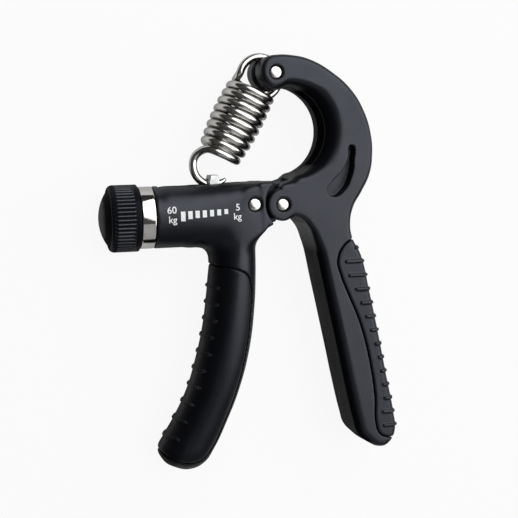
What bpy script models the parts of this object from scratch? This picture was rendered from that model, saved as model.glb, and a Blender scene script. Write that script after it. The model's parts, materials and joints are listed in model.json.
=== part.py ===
"""Adjustable hand gripper with an extension spring, as an assembly of separate pieces.

It lies flat on its back: Z is up, the squeeze pivot runs along Z, the barrel runs along X and the
handles point to -Y. Sizes are in millimetres, measured from the squeeze pivot and the middle plane.
"""
import math

import bmesh
import bpy
from mathutils import Matrix, Vector

MM = 0.001

# Fits
GAP = 0.3
TURN_STEPS = 40

# Where the squeeze pivot stands in the part's frame
PIVOT_X = 11.3
PIVOT_Y = 20.7

# Both bodies
HALF_T = 11.2
RIGHT_EDGE = 2.0
LEFT_EDGE = 4.2
CUT_OVER = 2.0

# Pins
PIN_R = 2.2
PIN_SHORT = 0.5
PIN_ROUND = 0.6
SPRING_PIN = (-1.5, 47.5)
CROSS_PIN = (-10.5, 0.4)

# Pivot joint
KNUCKLE_R = 5.9
TONGUE_R = 5.5
TONGUE_HALF = 4.4
TONGUE_TOP = 8.2
TONGUE_END = 4.2
TONGUE_SWEEP = 3.0
SOCKET = (3.7, 0.4)
SOCKET_R = 10.1
HEAD_TOP = 8.3
TONGUE_BACK = -9.0
TONGUE_BOTTOM = -3.4
CHEEK_EDGE = 0.6
SLOT_REACH = 16.0

# Curved arm of the right body
ARM_X = 1.2
ARM_Y = 26.3
ARM_IN_R = 16.9
FORK_HALF = 2.4
FORK_END = 6.2
FORK_FROM = 36.0
FORK_TO = 60.0
TEARDROP_DEPTH = 4.5

# Barrel, end cap and knob, along X
AXIS_Y = -3.3
BARREL_R = 11.25
BARREL_END = -46.1
BORE_R = 7.8
BORE_END = -15.0
SLOT_HALF = 3.6
SLOT_FROM = -44.0
SLOT_TO = -13.6
SLOT_FLOOR = 1.5
SLOT_RAISE = 0.6
CAP_LENGTH = 5.0
CAP_R = HALF_T
SPIGOT_LENGTH = 3.0
WASHER_T = 0.8
WASHER_R = 8.0
KNOB_R = 12.1
KNOB_LENGTH = 10.6
KNOB_WEB = 3.0
KNOB_WALL = 1.9
KNOB_COLLAR = 1.9
HUB_R = 5.2
HUB_LENGTH = 2.6
RIBS = 50
RIB_DEPTH = 0.5
RIM_BREAK = 0.4
SHOULDER = 1.4
DOME_SEAT = 1.6
DOME_RISE = 3.3
DOME_LIP = 1.6

# Lead screw, its screw and the nut on it
SCREW_R = 3.0
SCREW_TAIL = 3.6
SCREW_CHAMFER = 0.5
GROOVE_R = 1.2
KNOB_SCREW_R = 1.5
KNOB_SCREW_HEAD_R = 4.2
KNOB_SCREW_HEAD_T = 1.6
KNOB_SCREW_LENGTH = 9.0
KNOB_SCREW_CROWN = 0.7
SOCKET_HEAD_R = 1.4
SOCKET_HEAD_DEPTH = 1.0
NUT_LENGTH = 9.0
NUT_X = -23.6
LUG_TOP = 11.3
LUG_BASE = 2.1
LUG_TIP = 1.4
LUG_HALF = 3.2
LUG_SLOPE = 2.2
LUG_FOOT = AXIS_Y + SCREW_R + 1.5
EYE_R = 2.0
EYE_RISE = 0.1

# Spring, from its lower hook in the nut's eye to its upper hook on the spring pin
WIRE_R = 1.3
COIL_FOOT = (-20.8, 18.7)
COIL_HEAD = (-8.6, 40.7)
COIL_GAPS = 8
COIL_FOOT_R = 6.7
COIL_HEAD_R = 7.7
COIL_BULGE = 0.9
CURL_POINTS = 9
LOWER_HOOK_R = 7.1
HOOK_DEPTH = 3.5
UPPER_HOOK_R = 7.9
UPPER_HOOK_TILT = 22.0
UPPER_HOOK_START = 160.0
UPPER_HOOK_END = -44.0
LOWER_HOOK_START = -42.0
LOWER_HOOK_END = -195.0
COIL_START = -0.12
COIL_END = COIL_GAPS + 0.62

# Grips
SKIN = 2.2
CORE_EDGE = 0.8
RIB_RISE = 0.5
RIB_HEIGHT = 1.5

# Corners of the right body's outline that are not on an arc: outer edge of the arm and the handle
RIGHT_OUTER = [
    (-1.0, 53.8), (5.0, 53.6), (11.2, 52.2), (19.6, 47.6), (27.4, 40.6), (32.0, 32.8), (34.4, 24.6),
    (34.8, 17.0), (33.6, 10.0), (30.2, 3.4), (27.2, -1.5), (25.9, -7.5), (26.8, -13.0), (30.0, -19.6),
    (33.2, -33.8), (36.2, -48.7), (39.2, -65.1), (42.0, -80.3), (42.5, -86.2), (40.6, -90.6),
    (36.2, -92.8), (31.2, -91.0), (27.4, -87.2), (25.8, -82.0),
]
RIGHT_INNER = [
    (23.7, -72.9), (19.7, -52.7), (15.1, -30.0), (11.6, -13.6), (9.9, -8.9), (7.0, -5.7), (3.6, -4.2),
    (1.8, 0.0), (1.6, 5.0),
]
TIP = [
    (3.2, 42.2), (0.6, 41.3), (-2.2, 41.3), (-4.9, 42.9), (-6.7, 45.4), (-7.2, 48.2), (-6.4, 51.0),
    (-4.3, 53.1),
]
# Where the pivot's round knuckle runs into the arm and the handle
KNUCKLE_ROOT = [
    (2.6, -5.2), (6.0, -4.0), (12.0, -1.0), (12.0, 5.0), (6.0, 8.8), (2.6, 8.6), (0.4, 7.8), (-1.4, 6.2),
]
TEARDROP = [
    (26.3, 20.8), (27.1, 15.2), (25.8, 8.6), (23.2, 4.3), (19.6, 2.2), (16.7, 4.0), (18.2, 7.2),
    (22.6, 11.6), (24.9, 16.0),
]
RIGHT_GRIP_EDGE = [
    (30.0, -12.2), (26.4, -13.3), (22.3, -16.1), (20.1, -21.4), (21.2, -26.8), (23.5, -32.8),
    (28.4, -45.2), (32.0, -60.1), (33.7, -72.6), (34.1, -84.0), (35.6, -87.6), (39.2, -89.2), (46.0, -89.4),
]
RIGHT_GRIP_OUTSIDE = [(56.0, -89.4), (56.0, -12.2)]
# Each rib's inner end, and the height of the first and last
RIGHT_RIB_ENDS = [
    27.4, 23.8, 24.9, 27.4, 29.4, 31.2, 33.0, 34.7, 35.9, 36.8, 37.4, 37.9, 37.2, 37.5,
]
RIGHT_RIB_TOP = -16.6
RIGHT_RIB_BOTTOM = -84.3

# Outline of the left handle, from inside the head down its right edge and up its left one
LEFT_HANDLE = [
    (-17.0, -2.0), (-12.0, -2.0), (-8.6, -4.6), (-8.2, -8.6), (-9.0, -12.6), (-9.0, -17.0), (-9.1, -24.8),
    (-10.0, -38.4), (-12.3, -53.3), (-16.4, -67.4), (-21.6, -79.4), (-26.6, -89.0), (-30.4, -94.0),
    (-35.6, -96.4), (-40.6, -94.6), (-44.4, -91.6), (-45.2, -88.2), (-43.2, -84.2), (-39.6, -78.0),
    (-34.4, -67.9), (-30.5, -56.2), (-27.6, -44.6), (-25.8, -32.9), (-24.8, -24.6), (-24.2, -16.0),
    (-22.0, -7.0),
]
# Fillet between the handle's outer edge and the barrel
ROOT_SHARE = 0.66
ROOT_FILLET = [
    (-20.0, -19.0), (-25.0, -19.0), (-26.2, -17.2), (-28.4, -15.4), (-31.6, -14.0), (-34.0, -13.4),
    (-30.0, -8.0), (-20.0, -8.0),
]
HEAD_OUTLINE = [
    (-9.0, 7.6), (-8.0, HEAD_TOP), (-1.0, HEAD_TOP), (-1.0, -6.4), (-3.2, -6.9), (-5.4, -8.0),
    (-8.2, -10.3),
]
LEFT_GRIP_EDGE = [
    (-42.0, -19.6), (-28.2, -20.8), (-17.4, -22.6), (-13.4, -25.0), (-11.9, -29.1), (-12.6, -41.2),
    (-14.4, -53.0), (-18.2, -67.0), (-23.4, -79.2), (-28.4, -88.4), (-33.0, -92.4), (-39.0, -92.6),
    (-45.0, -90.0), (-52.0, -86.6),
]
LEFT_GRIP_OUTSIDE = [(-62.0, -84.0), (-62.0, -19.6)]
LEFT_RIB_ENDS = [-24.4, -25.0, -25.9, -27.1, -28.4, -30.5, -32.6, -35.2, -38.0, -41.2]
LEFT_RIB_TOP = -29.3
LEFT_RIB_BOTTOM = -83.6

# Stations of the barrel: x, top, bottom and how square its section is
BARREL_STATIONS = [
    (BARREL_END, AXIS_Y + BARREL_R, AXIS_Y - BARREL_R, 2.0),
    (BARREL_END + 3.0, AXIS_Y + BARREL_R + SLOT_RAISE, AXIS_Y - BARREL_R, 2.0),
    (-34.0, AXIS_Y + BARREL_R + SLOT_RAISE, AXIS_Y - BARREL_R, 2.0),
    (-27.0, AXIS_Y + BARREL_R + SLOT_RAISE, AXIS_Y - BARREL_R, 2.2),
    (-21.0, 8.5, AXIS_Y - BARREL_R, 2.6),
    (-15.0, 8.4, -14.0, 3.4),
    (-9.5, HEAD_TOP, -12.2, 7.0),
    (-6.5, HEAD_TOP, -9.2, 9.0),
]
STATION_SIDES = 36


def collection(name):
    """A new collection in the scene."""
    made = bpy.data.collections.new(name)
    bpy.context.scene.collection.children.link(made)
    return made


def link(obj, where):
    """Puts an object in a collection."""
    where.objects.link(obj)
    return obj


def helper(obj):
    """Makes an object a hidden cutter or guide, which stands with the part's frame."""
    obj.parent = frame_empty
    obj.hide_render = True
    obj.display_type = "WIRE"
    return obj


def material(name, colour, roughness, metallic):
    """A Principled material."""
    made = bpy.data.materials.new(name)
    made.use_nodes = True
    shader = made.node_tree.nodes["Principled BSDF"]
    shader.inputs["Base Color"].default_value = (*colour, 1.0)
    shader.inputs["Roughness"].default_value = roughness
    shader.inputs["Metallic"].default_value = metallic
    return made


def evaluated_mesh(obj, name):
    """The object's evaluated mesh, welded and in its own coordinates."""
    bpy.context.view_layer.update()
    graph = bpy.context.evaluated_depsgraph_get()
    mesh = bpy.data.meshes.new_from_object(obj.evaluated_get(graph), depsgraph=graph)
    mesh.name = name
    work = bmesh.new()
    work.from_mesh(mesh)
    bmesh.ops.remove_doubles(work, verts=work.verts, dist=0.00001)
    bmesh.ops.recalc_face_normals(work, faces=work.faces)
    work.to_mesh(mesh)
    work.free()
    return mesh


def solid(name, source):
    """A new mesh object with the source's evaluated shape; the source is removed."""
    mesh = evaluated_mesh(source, name)
    matrix = source.matrix_world.copy()
    bpy.data.objects.remove(source)
    mesh.transform(matrix)
    obj = link(bpy.data.objects.new(name, mesh), cutters)
    return obj


def outline_curve(name, points, half, edge=0.0, offset=0.0, smooth=2, edge_steps=2):
    """A flat outline as a 2D curve, with a thickness and rounded edges."""
    curve = bpy.data.curves.new(name, "CURVE")
    curve.dimensions = "2D"
    curve.fill_mode = "BOTH"
    curve.extrude = (half - edge) * MM
    curve.bevel_depth = edge * MM
    curve.bevel_resolution = edge_steps
    curve.offset = (offset - edge) * MM
    curve.resolution_u = smooth
    curve.render_resolution_u = smooth
    kind = "BEZIER" if smooth > 1 else "POLY"
    spline = curve.splines.new(kind)
    spline.use_cyclic_u = True
    if kind == "BEZIER":
        spline.bezier_points.add(len(points) - 1)
        for knot, (x, y) in zip(spline.bezier_points, points):
            knot.co = (x * MM, y * MM, 0)
            knot.handle_left_type = "AUTO"
            knot.handle_right_type = "AUTO"
    else:
        spline.points.add(len(points) - 1)
        for knot, (x, y) in zip(spline.points, points):
            knot.co = (x * MM, y * MM, 0, 1)
    return link(bpy.data.objects.new(name, curve), cutters)


def clockwise(points):
    """The points in clockwise order, which an outline's offset expects."""
    area = 0.0
    for (x0, y0), (x1, y1) in zip(points, points[1:] + points[:1]):
        area += x0 * y1 - x1 * y0
    return points if area < 0 else points[::-1]


def plate(name, points, half, **shape):
    """A solid plate with the given outline."""
    return solid(name, outline_curve(name, clockwise(points), half, **shape))


def arc(x, y, radius, start, end, count):
    """Points on an arc, its angles in degrees."""
    found = []
    for i in range(count):
        angle = math.radians(start + (end - start) * i / (count - 1))
        found.append((x + radius * math.cos(angle), y + radius * math.sin(angle)))
    return found


def turned(name, profile, steps=TURN_STEPS):
    """A solid turned about the barrel's axis from (radius, x) points."""
    mesh = bpy.data.meshes.new(name)
    count = len(profile)
    edges = [(i, i + 1) for i in range(count - 1)]
    if all(r > 0 for r, _ in profile):
        edges.append((count - 1, 0))
    mesh.from_pydata([(r * MM, 0, x * MM) for r, x in profile], edges, [])
    obj = link(bpy.data.objects.new(name, mesh), cutters)
    screw = obj.modifiers.new("turn", "SCREW")
    screw.steps = steps
    screw.render_steps = steps
    screw.use_merge_vertices = True
    screw.merge_threshold = 0.00001
    obj.matrix_world = Matrix.Translation((0, AXIS_Y * MM, 0)) @ Matrix.Rotation(math.pi / 2, 4, "Y")
    return solid(name, obj)


def rod(name, radius, centre, half, edge=0.0, sides=32):
    """A round bar along Z through a point, with rounded rims if asked."""
    bpy.ops.mesh.primitive_cylinder_add(
        vertices=sides, radius=radius * MM, depth=2 * half * MM, location=(centre[0] * MM, centre[1] * MM, 0)
    )
    obj = bpy.context.object
    obj.name = name
    if edge:
        bevel = obj.modifiers.new("rim", "BEVEL")
        bevel.width = edge * MM
        bevel.segments = 3
        bevel.limit_method = "ANGLE"
    return gather(obj)


def box(name, low, high):
    """A box between two corners."""
    bpy.ops.mesh.primitive_cube_add(size=1)
    obj = bpy.context.object
    obj.name = name
    size = [(b - a) * MM for a, b in zip(low, high)]
    middle = [(a + b) / 2 * MM for a, b in zip(low, high)]
    obj.data.transform(Matrix.Translation(middle) @ Matrix.Diagonal((*size, 1)))
    return gather(obj)


def gather(obj):
    """Moves an object out of the scene's own collection, its shape baked in place."""
    return solid(obj.name, obj)


def along_x(name, radius, x_from, x_to, y=None, sides=32):
    """A round bar along X at a height Y, by default on the barrel's axis."""
    centre = AXIS_Y if y is None else y
    bpy.ops.mesh.primitive_cylinder_add(
        vertices=sides,
        radius=radius * MM,
        depth=(x_to - x_from) * MM,
        location=((x_from + x_to) / 2 * MM, centre * MM, 0),
        rotation=(0, math.pi / 2, 0),
    )
    obj = bpy.context.object
    obj.name = name
    return gather(obj)


def combine(obj, other, operation):
    """Adds a Boolean with a hidden helper."""
    helper(other)
    boolean = obj.modifiers.new(other.name, "BOOLEAN")
    boolean.operation = operation
    boolean.solver = "EXACT"
    boolean.object = other
    return obj


def cut(obj, *others):
    """Takes other shapes out of an object."""
    for other in others:
        combine(obj, other, "DIFFERENCE")
    return obj


def join(obj, *others):
    """Adds other shapes to an object."""
    for other in others:
        combine(obj, other, "UNION")
    return obj


def body(name, x, y, z, parent=None):
    """An empty on a joint's axis."""
    empty = bpy.data.objects.new(name, None)
    empty.empty_display_size = 0.01
    link(empty, part)
    body_places[name] = Vector((x * MM, y * MM, z * MM))
    empty.location = body_places[name]
    if parent:
        empty.parent = parent
        empty.location = body_places[name] - body_places[parent.name]
    return empty


def finish(obj, name, look, parent):
    """Names a piece, gives it its material and carries it on its body."""
    cutters.objects.unlink(obj)
    link(obj, part)
    obj.name = name
    obj.data.name = name
    obj.data.transform(Matrix.Translation(body_places[frame_empty.name] - body_places[parent.name]))
    obj.parent = parent
    obj.data.materials.clear()
    obj.data.materials.append(look)
    return obj


def right_outline():
    """The right body: arm, handle and the round tip about the spring pin."""
    inner = arc(ARM_X, ARM_Y, ARM_IN_R, -76, 72, 13)
    return RIGHT_OUTER + RIGHT_INNER + inner + TIP


def grip_blanks(name, outline, edge, region):
    """The recess in a handle, its core under the grip, and the grip's own solid."""
    window = plate(name + "_window", region, HALF_T + CUT_OVER)
    core = plate(name + "_core", outline, HALF_T - SKIN, edge=max(edge - SKIN, CORE_EDGE), offset=-SKIN)
    grip = plate(name + "_blank", outline, HALF_T, edge=edge)
    inside = plate(name + "_inside", region, HALF_T + CUT_OVER, offset=-GAP)
    combine(grip, inside, "INTERSECT")
    return window, core, grip


def add_ribs(grip, name, outline, edge, ends, top, bottom, side):
    """Raised bars that wrap round the grip's outer side; side is 1 for +X and -1 for -X."""
    proud = plate(name + "_proud", outline, HALF_T + RIB_RISE, edge=edge, offset=RIB_RISE)
    bars = None
    for i, end in enumerate(ends):
        y = top + (bottom - top) * i / (len(ends) - 1)
        low = (end, y - RIB_HEIGHT / 2, -HALF_T - 3)
        high = (end + side * 24, y + RIB_HEIGHT / 2, HALF_T + 3)
        low, high = [[f(a, b) for a, b in zip(low, high)] for f in (min, max)]
        bar = box(f"{name}_bar_{i + 1:02d}", low, high)
        if bars is None:
            bars = bar
        else:
            merge_into(bars, bar)
    combine(proud, bars, "INTERSECT")
    join(grip, proud)


def merge_into(obj, other):
    """Copies another object's faces into an object's mesh and removes the other."""
    work = bmesh.new()
    work.from_mesh(obj.data)
    work.from_mesh(other.data)
    work.to_mesh(obj.data)
    work.free()
    bpy.data.objects.remove(other)


def barrel_shell():
    """The barrel's outer form, round at the knob and squarer at the pivot, lofted through its stations."""
    work = bmesh.new()
    rings = []
    for x, top, bottom, square in BARREL_STATIONS:
        middle, half = (top + bottom) / 2, (top - bottom) / 2
        ring = []
        for i in range(STATION_SIDES):
            angle = 2 * math.pi * i / STATION_SIDES
            c, s = math.cos(angle), math.sin(angle)
            y = middle + half * math.copysign(abs(s) ** (2 / square), s)
            z = HALF_T * math.copysign(abs(c) ** (2 / square), c)
            ring.append(work.verts.new((x * MM, y * MM, z * MM)))
        rings.append(ring)
    for here, there in zip(rings, rings[1:]):
        for i in range(STATION_SIDES):
            j = (i + 1) % STATION_SIDES
            work.faces.new((here[i], here[j], there[j], there[i]))
    work.faces.new(rings[0])
    work.faces.new(rings[-1][::-1])
    bmesh.ops.recalc_face_normals(work, faces=work.faces)
    mesh = bpy.data.meshes.new("barrel_shell")
    work.to_mesh(mesh)
    work.free()
    return link(bpy.data.objects.new("barrel_shell", mesh), cutters)


def make_right_body():
    """The curved arm with its fork, the knuckle's two cheeks and the handle under its grip."""
    outline = right_outline()
    region = RIGHT_GRIP_EDGE + RIGHT_GRIP_OUTSIDE
    window, core, grip = grip_blanks("right_grip", outline, RIGHT_EDGE, region)
    frame = plate("right_blank", outline, HALF_T, edge=RIGHT_EDGE)
    cheek = arc(0, 0, KNUCKLE_R, 290, 100, 15) + KNUCKLE_ROOT[::-1]
    knuckle = plate("knuckle", cheek, HALF_T, edge=CHEEK_EDGE, smooth=1)
    slot_half = TONGUE_HALF + GAP
    slot_top = math.hypot(TONGUE_END, TONGUE_TOP) + CUT_OVER
    slot = box("pivot_slot", (-SLOT_REACH, 0, -slot_half), (TONGUE_END + GAP, slot_top, slot_half))
    slot_round = rod("pivot_slot_round", TONGUE_R + GAP, (0, 0), slot_half, sides=40)
    slot_foot = -KNUCKLE_R - CUT_OVER
    slot_left = box("pivot_slot_left", (-SLOT_REACH, slot_foot, -slot_half), (TONGUE_SWEEP, 1, slot_half))
    fork = box("fork_slot", (-SLOT_REACH, FORK_FROM, -FORK_HALF), (FORK_END, FORK_TO, FORK_HALF))
    cut(frame, window)
    join(frame, core, knuckle)
    cut(frame, slot, slot_round, slot_left, fork)
    for side in (1, -1):
        hollow = plate(f"teardrop_{side}", TEARDROP, TEARDROP_DEPTH, smooth=3)
        hollow.data.transform(Matrix.Translation((0, 0, side * HALF_T * MM)))
        cut(frame, hollow)
    cut(frame, rod("pivot_hole", PIN_R + GAP, (0, 0), HALF_T + CUT_OVER, sides=24))
    cut(frame, rod("spring_pin_hole", PIN_R + GAP, SPRING_PIN, HALF_T + CUT_OVER, sides=24))
    add_ribs(grip, "right_rib", outline, RIGHT_EDGE, RIGHT_RIB_ENDS, RIGHT_RIB_TOP, RIGHT_RIB_BOTTOM, 1)
    core_edge = max(RIGHT_EDGE - SKIN, CORE_EDGE)
    inner = plate("right_grip_hollow", outline, HALF_T - SKIN + GAP, edge=core_edge, offset=GAP - SKIN)
    cut(grip, inner)
    finish(frame, "right_frame", black, right_body)
    finish(grip, "right_grip_rubber", rubber, right_body)


def make_left_body():
    """The barrel with its slot, the socket and tongue at the pivot, and the handle under its grip."""
    region = LEFT_GRIP_EDGE + LEFT_GRIP_OUTSIDE
    window, core, grip = grip_blanks("left_grip", LEFT_HANDLE, LEFT_EDGE, region)
    frame = plate("left_blank", LEFT_HANDLE, HALF_T, edge=LEFT_EDGE)
    head = plate("head", HEAD_OUTLINE, HALF_T, edge=CHEEK_EDGE, smooth=1)
    root = plate("root", ROOT_FILLET, HALF_T * ROOT_SHARE, smooth=1)
    cut(frame, window)
    join(frame, core, barrel_shell(), head, root)
    socket_half = (HALF_T + CUT_OVER - TONGUE_HALF) / 2
    for side in (1, -1):
        socket = rod(f"socket_{side}", SOCKET_R, SOCKET, socket_half, sides=64)
        socket.data.transform(Matrix.Translation((0, 0, side * (TONGUE_HALF + socket_half) * MM)))
        cut(frame, socket)
    tongue_low = (TONGUE_BACK, TONGUE_BOTTOM, -TONGUE_HALF)
    tongue = box("tongue", tongue_low, (TONGUE_END, TONGUE_TOP, TONGUE_HALF))
    nose = rod("tongue_nose", TONGUE_R, (0, 0), TONGUE_HALF, sides=40)
    join(frame, tongue, nose)
    bore = along_x("bore", BORE_R, BARREL_END - 5, BORE_END, sides=40)
    shaft = along_x("shaft_bore", SCREW_R + GAP, BORE_END - 5, CROSS_PIN[0] + SCREW_TAIL + GAP, sides=24)
    slot = box("nut_slot", (SLOT_FROM, SLOT_FLOOR, -SLOT_HALF), (SLOT_TO, HEAD_TOP + CUT_OVER, SLOT_HALF))
    cut(frame, bore, shaft, slot)
    cut(frame, rod("pivot_bore", PIN_R + GAP, (0, 0), HALF_T + CUT_OVER, sides=24))
    cut(frame, rod("cross_pin_hole", PIN_R + GAP, CROSS_PIN, HALF_T + CUT_OVER, sides=24))
    add_ribs(grip, "left_rib", LEFT_HANDLE, LEFT_EDGE, LEFT_RIB_ENDS, LEFT_RIB_TOP, LEFT_RIB_BOTTOM, -1)
    core_edge = max(LEFT_EDGE - SKIN, CORE_EDGE)
    inner = plate("left_grip_hollow", LEFT_HANDLE, HALF_T - SKIN + GAP, edge=core_edge, offset=GAP - SKIN)
    cut(grip, inner)
    finish(frame, "left_frame", black, left_body)
    finish(grip, "left_grip_rubber", rubber, left_body)


def make_pins():
    """The three steel pins, a little shorter than the bodies are thick."""
    for name, centre, carrier in (
        ("pivot_pin", (0, 0), right_body),
        ("spring_pin", SPRING_PIN, right_body),
        ("cross_pin", CROSS_PIN, left_body),
    ):
        finish(rod(name, PIN_R, centre, HALF_T - PIN_SHORT, edge=PIN_ROUND, sides=24), name, steel, carrier)


def make_end_cap():
    """The bright metal cap on the barrel's end, its spigot inside the bore."""
    right = BARREL_END - GAP
    left = right - CAP_LENGTH
    hole = SCREW_R + GAP
    spigot = BORE_R - GAP
    cap = turned("end_cap", [
        (hole, left), (CAP_R - RIM_BREAK, left), (CAP_R, left + RIM_BREAK), (CAP_R, right - RIM_BREAK),
        (CAP_R - RIM_BREAK, right),
        (spigot, right), (spigot, right + GAP + SPIGOT_LENGTH), (hole, right + GAP + SPIGOT_LENGTH),
    ])
    finish(cap, "end_cap", chrome, left_body)
    return left


def make_knob(cap_face):
    """The dial, its domed cap, the washer behind it, the lead screw and the screw that holds the dial."""
    washer_right = cap_face - GAP
    washer = turned("thrust_washer", [
        (SCREW_R + GAP, washer_right), (WASHER_R, washer_right),
        (WASHER_R, washer_right - WASHER_T), (SCREW_R + GAP, washer_right - WASHER_T),
    ])
    finish(washer, "thrust_washer", steel, knob)

    face = washer_right
    back = face - WASHER_T - GAP
    rim = face - KNOB_LENGTH
    web = back - KNOB_WEB
    seat_r = KNOB_R - KNOB_WALL + GAP
    seat = rim + DOME_LIP
    dial = turned("dial", [
        (SCREW_R + GAP, back), (WASHER_R + GAP, back), (WASHER_R + GAP, face), (KNOB_R - RIM_BREAK, face),
        (KNOB_R, face - KNOB_COLLAR), (KNOB_R, rim + SHOULDER), (KNOB_R - RIM_BREAK, rim + RIM_BREAK),
        ((KNOB_R - RIM_BREAK + seat_r) / 2, rim), (seat_r, rim), (seat_r, seat + GAP),
        (seat_r - DOME_SEAT, seat + GAP), (seat_r - DOME_SEAT, web),
        (HUB_R, web), (HUB_R, web - HUB_LENGTH),
        (SCREW_R + GAP, web - HUB_LENGTH),
    ], steps=2 * RIBS)
    for vertex in dial.data.vertices:
        x, y, z = vertex.co / MM
        radius = math.hypot(y - AXIS_Y, z)
        column = round(math.atan2(z, y - AXIS_Y) / math.pi * RIBS)
        if radius > KNOB_R - RIB_DEPTH and x < face - KNOB_COLLAR / 2 and column % 2:
            shrink = (radius - RIB_DEPTH) / radius
            vertex.co.y = (AXIS_Y + (y - AXIS_Y) * shrink) * MM
            vertex.co.z = z * shrink * MM
    finish(dial, "knob_dial", dial_black, knob)

    dome_r = seat_r - GAP
    sphere_r = (dome_r ** 2 + DOME_RISE ** 2) / (2 * DOME_RISE)
    start = math.asin(dome_r / sphere_r)
    dome = [(0, seat), (dome_r, seat), (dome_r, rim)]
    for i in range(1, 7):
        angle = start * (1 - i / 6)
        out = sphere_r * math.sin(angle) if i < 6 else 0
        dome.append((out, rim - sphere_r * (math.cos(angle) - math.cos(start))))
    finish(turned("dome", dome), "knob_cap", cap_black, knob)

    end = CROSS_PIN[0] + SCREW_TAIL
    groove = PIN_R + GAP
    start_x = web - HUB_LENGTH
    screw = turned("screw", [
        (0, end), (SCREW_R - SCREW_CHAMFER, end), (SCREW_R, end - SCREW_CHAMFER),
        (SCREW_R, CROSS_PIN[0] + groove),
        (GROOVE_R, CROSS_PIN[0] + groove), (GROOVE_R, CROSS_PIN[0] - groove),
        (SCREW_R, CROSS_PIN[0] - groove), (SCREW_R, start_x), (0, start_x),
    ], steps=24)
    hole_end = start_x + KNOB_SCREW_LENGTH + GAP
    cut(screw, along_x("screw_hole", KNOB_SCREW_R + GAP, start_x - 2, hole_end, sides=16))
    finish(screw, "lead_screw", steel, knob)

    under = start_x - GAP
    top = under - KNOB_SCREW_HEAD_T
    holder = turned("holder", [
        (0, under + KNOB_SCREW_LENGTH), (KNOB_SCREW_R, under + KNOB_SCREW_LENGTH), (KNOB_SCREW_R, under),
        (KNOB_SCREW_HEAD_R, under), (KNOB_SCREW_HEAD_R, top + KNOB_SCREW_CROWN),
        (KNOB_SCREW_HEAD_R - KNOB_SCREW_CROWN, top), (SOCKET_HEAD_R, top),
        (SOCKET_HEAD_R, top + SOCKET_HEAD_DEPTH), (0, top + SOCKET_HEAD_DEPTH),
    ], steps=20)
    finish(holder, "knob_screw", steel, knob)


def make_nut():
    """The nut on the lead screw, with a lug through the slot and the eye that the spring hooks in."""
    left, right = NUT_X - NUT_LENGTH / 2, NUT_X + NUT_LENGTH / 2
    inner, outer = SCREW_R + GAP, BORE_R - GAP
    blank = turned("nut_blank", [
        (inner, right), (outer - SCREW_CHAMFER, right), (outer, right - SCREW_CHAMFER),
        (outer, left + SCREW_CHAMFER), (outer - SCREW_CHAMFER, left), (inner, left),
    ])
    shape = [
        (NUT_X - LUG_BASE, LUG_FOOT), (NUT_X - LUG_BASE, LUG_TOP - LUG_SLOPE), (NUT_X - LUG_TIP, LUG_TOP),
        (NUT_X + LUG_TIP, LUG_TOP), (NUT_X + LUG_BASE, LUG_TOP - LUG_SLOPE), (NUT_X + LUG_BASE, LUG_FOOT),
    ]
    lug = plate("lug", shape, LUG_HALF, smooth=1)
    join(blank, lug)
    eye_y = LUG_TOP - HOOK_DEPTH + EYE_RISE
    cut(blank, along_x("eye", EYE_R, left - CUT_OVER, right + CUT_OVER, y=eye_y, sides=20))
    finish(blank, "travelling_nut", zinc, nut)


def coil_frame():
    """The coil's foot, direction along its axis, direction across it and length."""
    foot, head = Vector((*COIL_FOOT, 0)), Vector((*COIL_HEAD, 0))
    along = head - foot
    length = along.length
    along /= length
    across = Vector((along.y, -along.x, 0))
    return foot, along, across, length


def coil_point(turn):
    """A point on the coil's wire; whole turns are where the wire crosses the front of the axis."""
    foot, along, across, length = coil_frame()
    share = min(max(turn / COIL_GAPS, 0), 1)
    radius = COIL_FOOT_R + (COIL_HEAD_R - COIL_FOOT_R) * share + COIL_BULGE * 4 * share * (1 - share)
    angle = 2 * math.pi * turn - math.pi / 2
    offset = across * math.cos(angle) - Vector((0, 0, 1)) * math.sin(angle)
    return foot + along * (length * turn / COIL_GAPS) + offset * radius


def eased(p0, t0, p1, t1, count):
    """Points inside a smooth bend between two points with given tangents."""
    found = []
    for i in range(1, count):
        s = i / count
        a = 2 * s ** 3 - 3 * s ** 2 + 1
        b = s ** 3 - 2 * s ** 2 + s
        c = -2 * s ** 3 + 3 * s ** 2
        d = s ** 3 - s ** 2
        found.append(p0 * a + t0 * b + p1 * c + t1 * d)
    return found


def lower_hook_centre():
    """The middle of the lower hook's circle, which runs through the nut's eye."""
    return NUT_X, LUG_TOP - HOOK_DEPTH + LOWER_HOOK_R


def hook_point(centre, radius, degrees):
    """A point on a hook's circle in the middle plane."""
    angle = math.radians(degrees)
    return Vector((centre[0] + radius * math.cos(angle), centre[1] + radius * math.sin(angle), 0))


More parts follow.
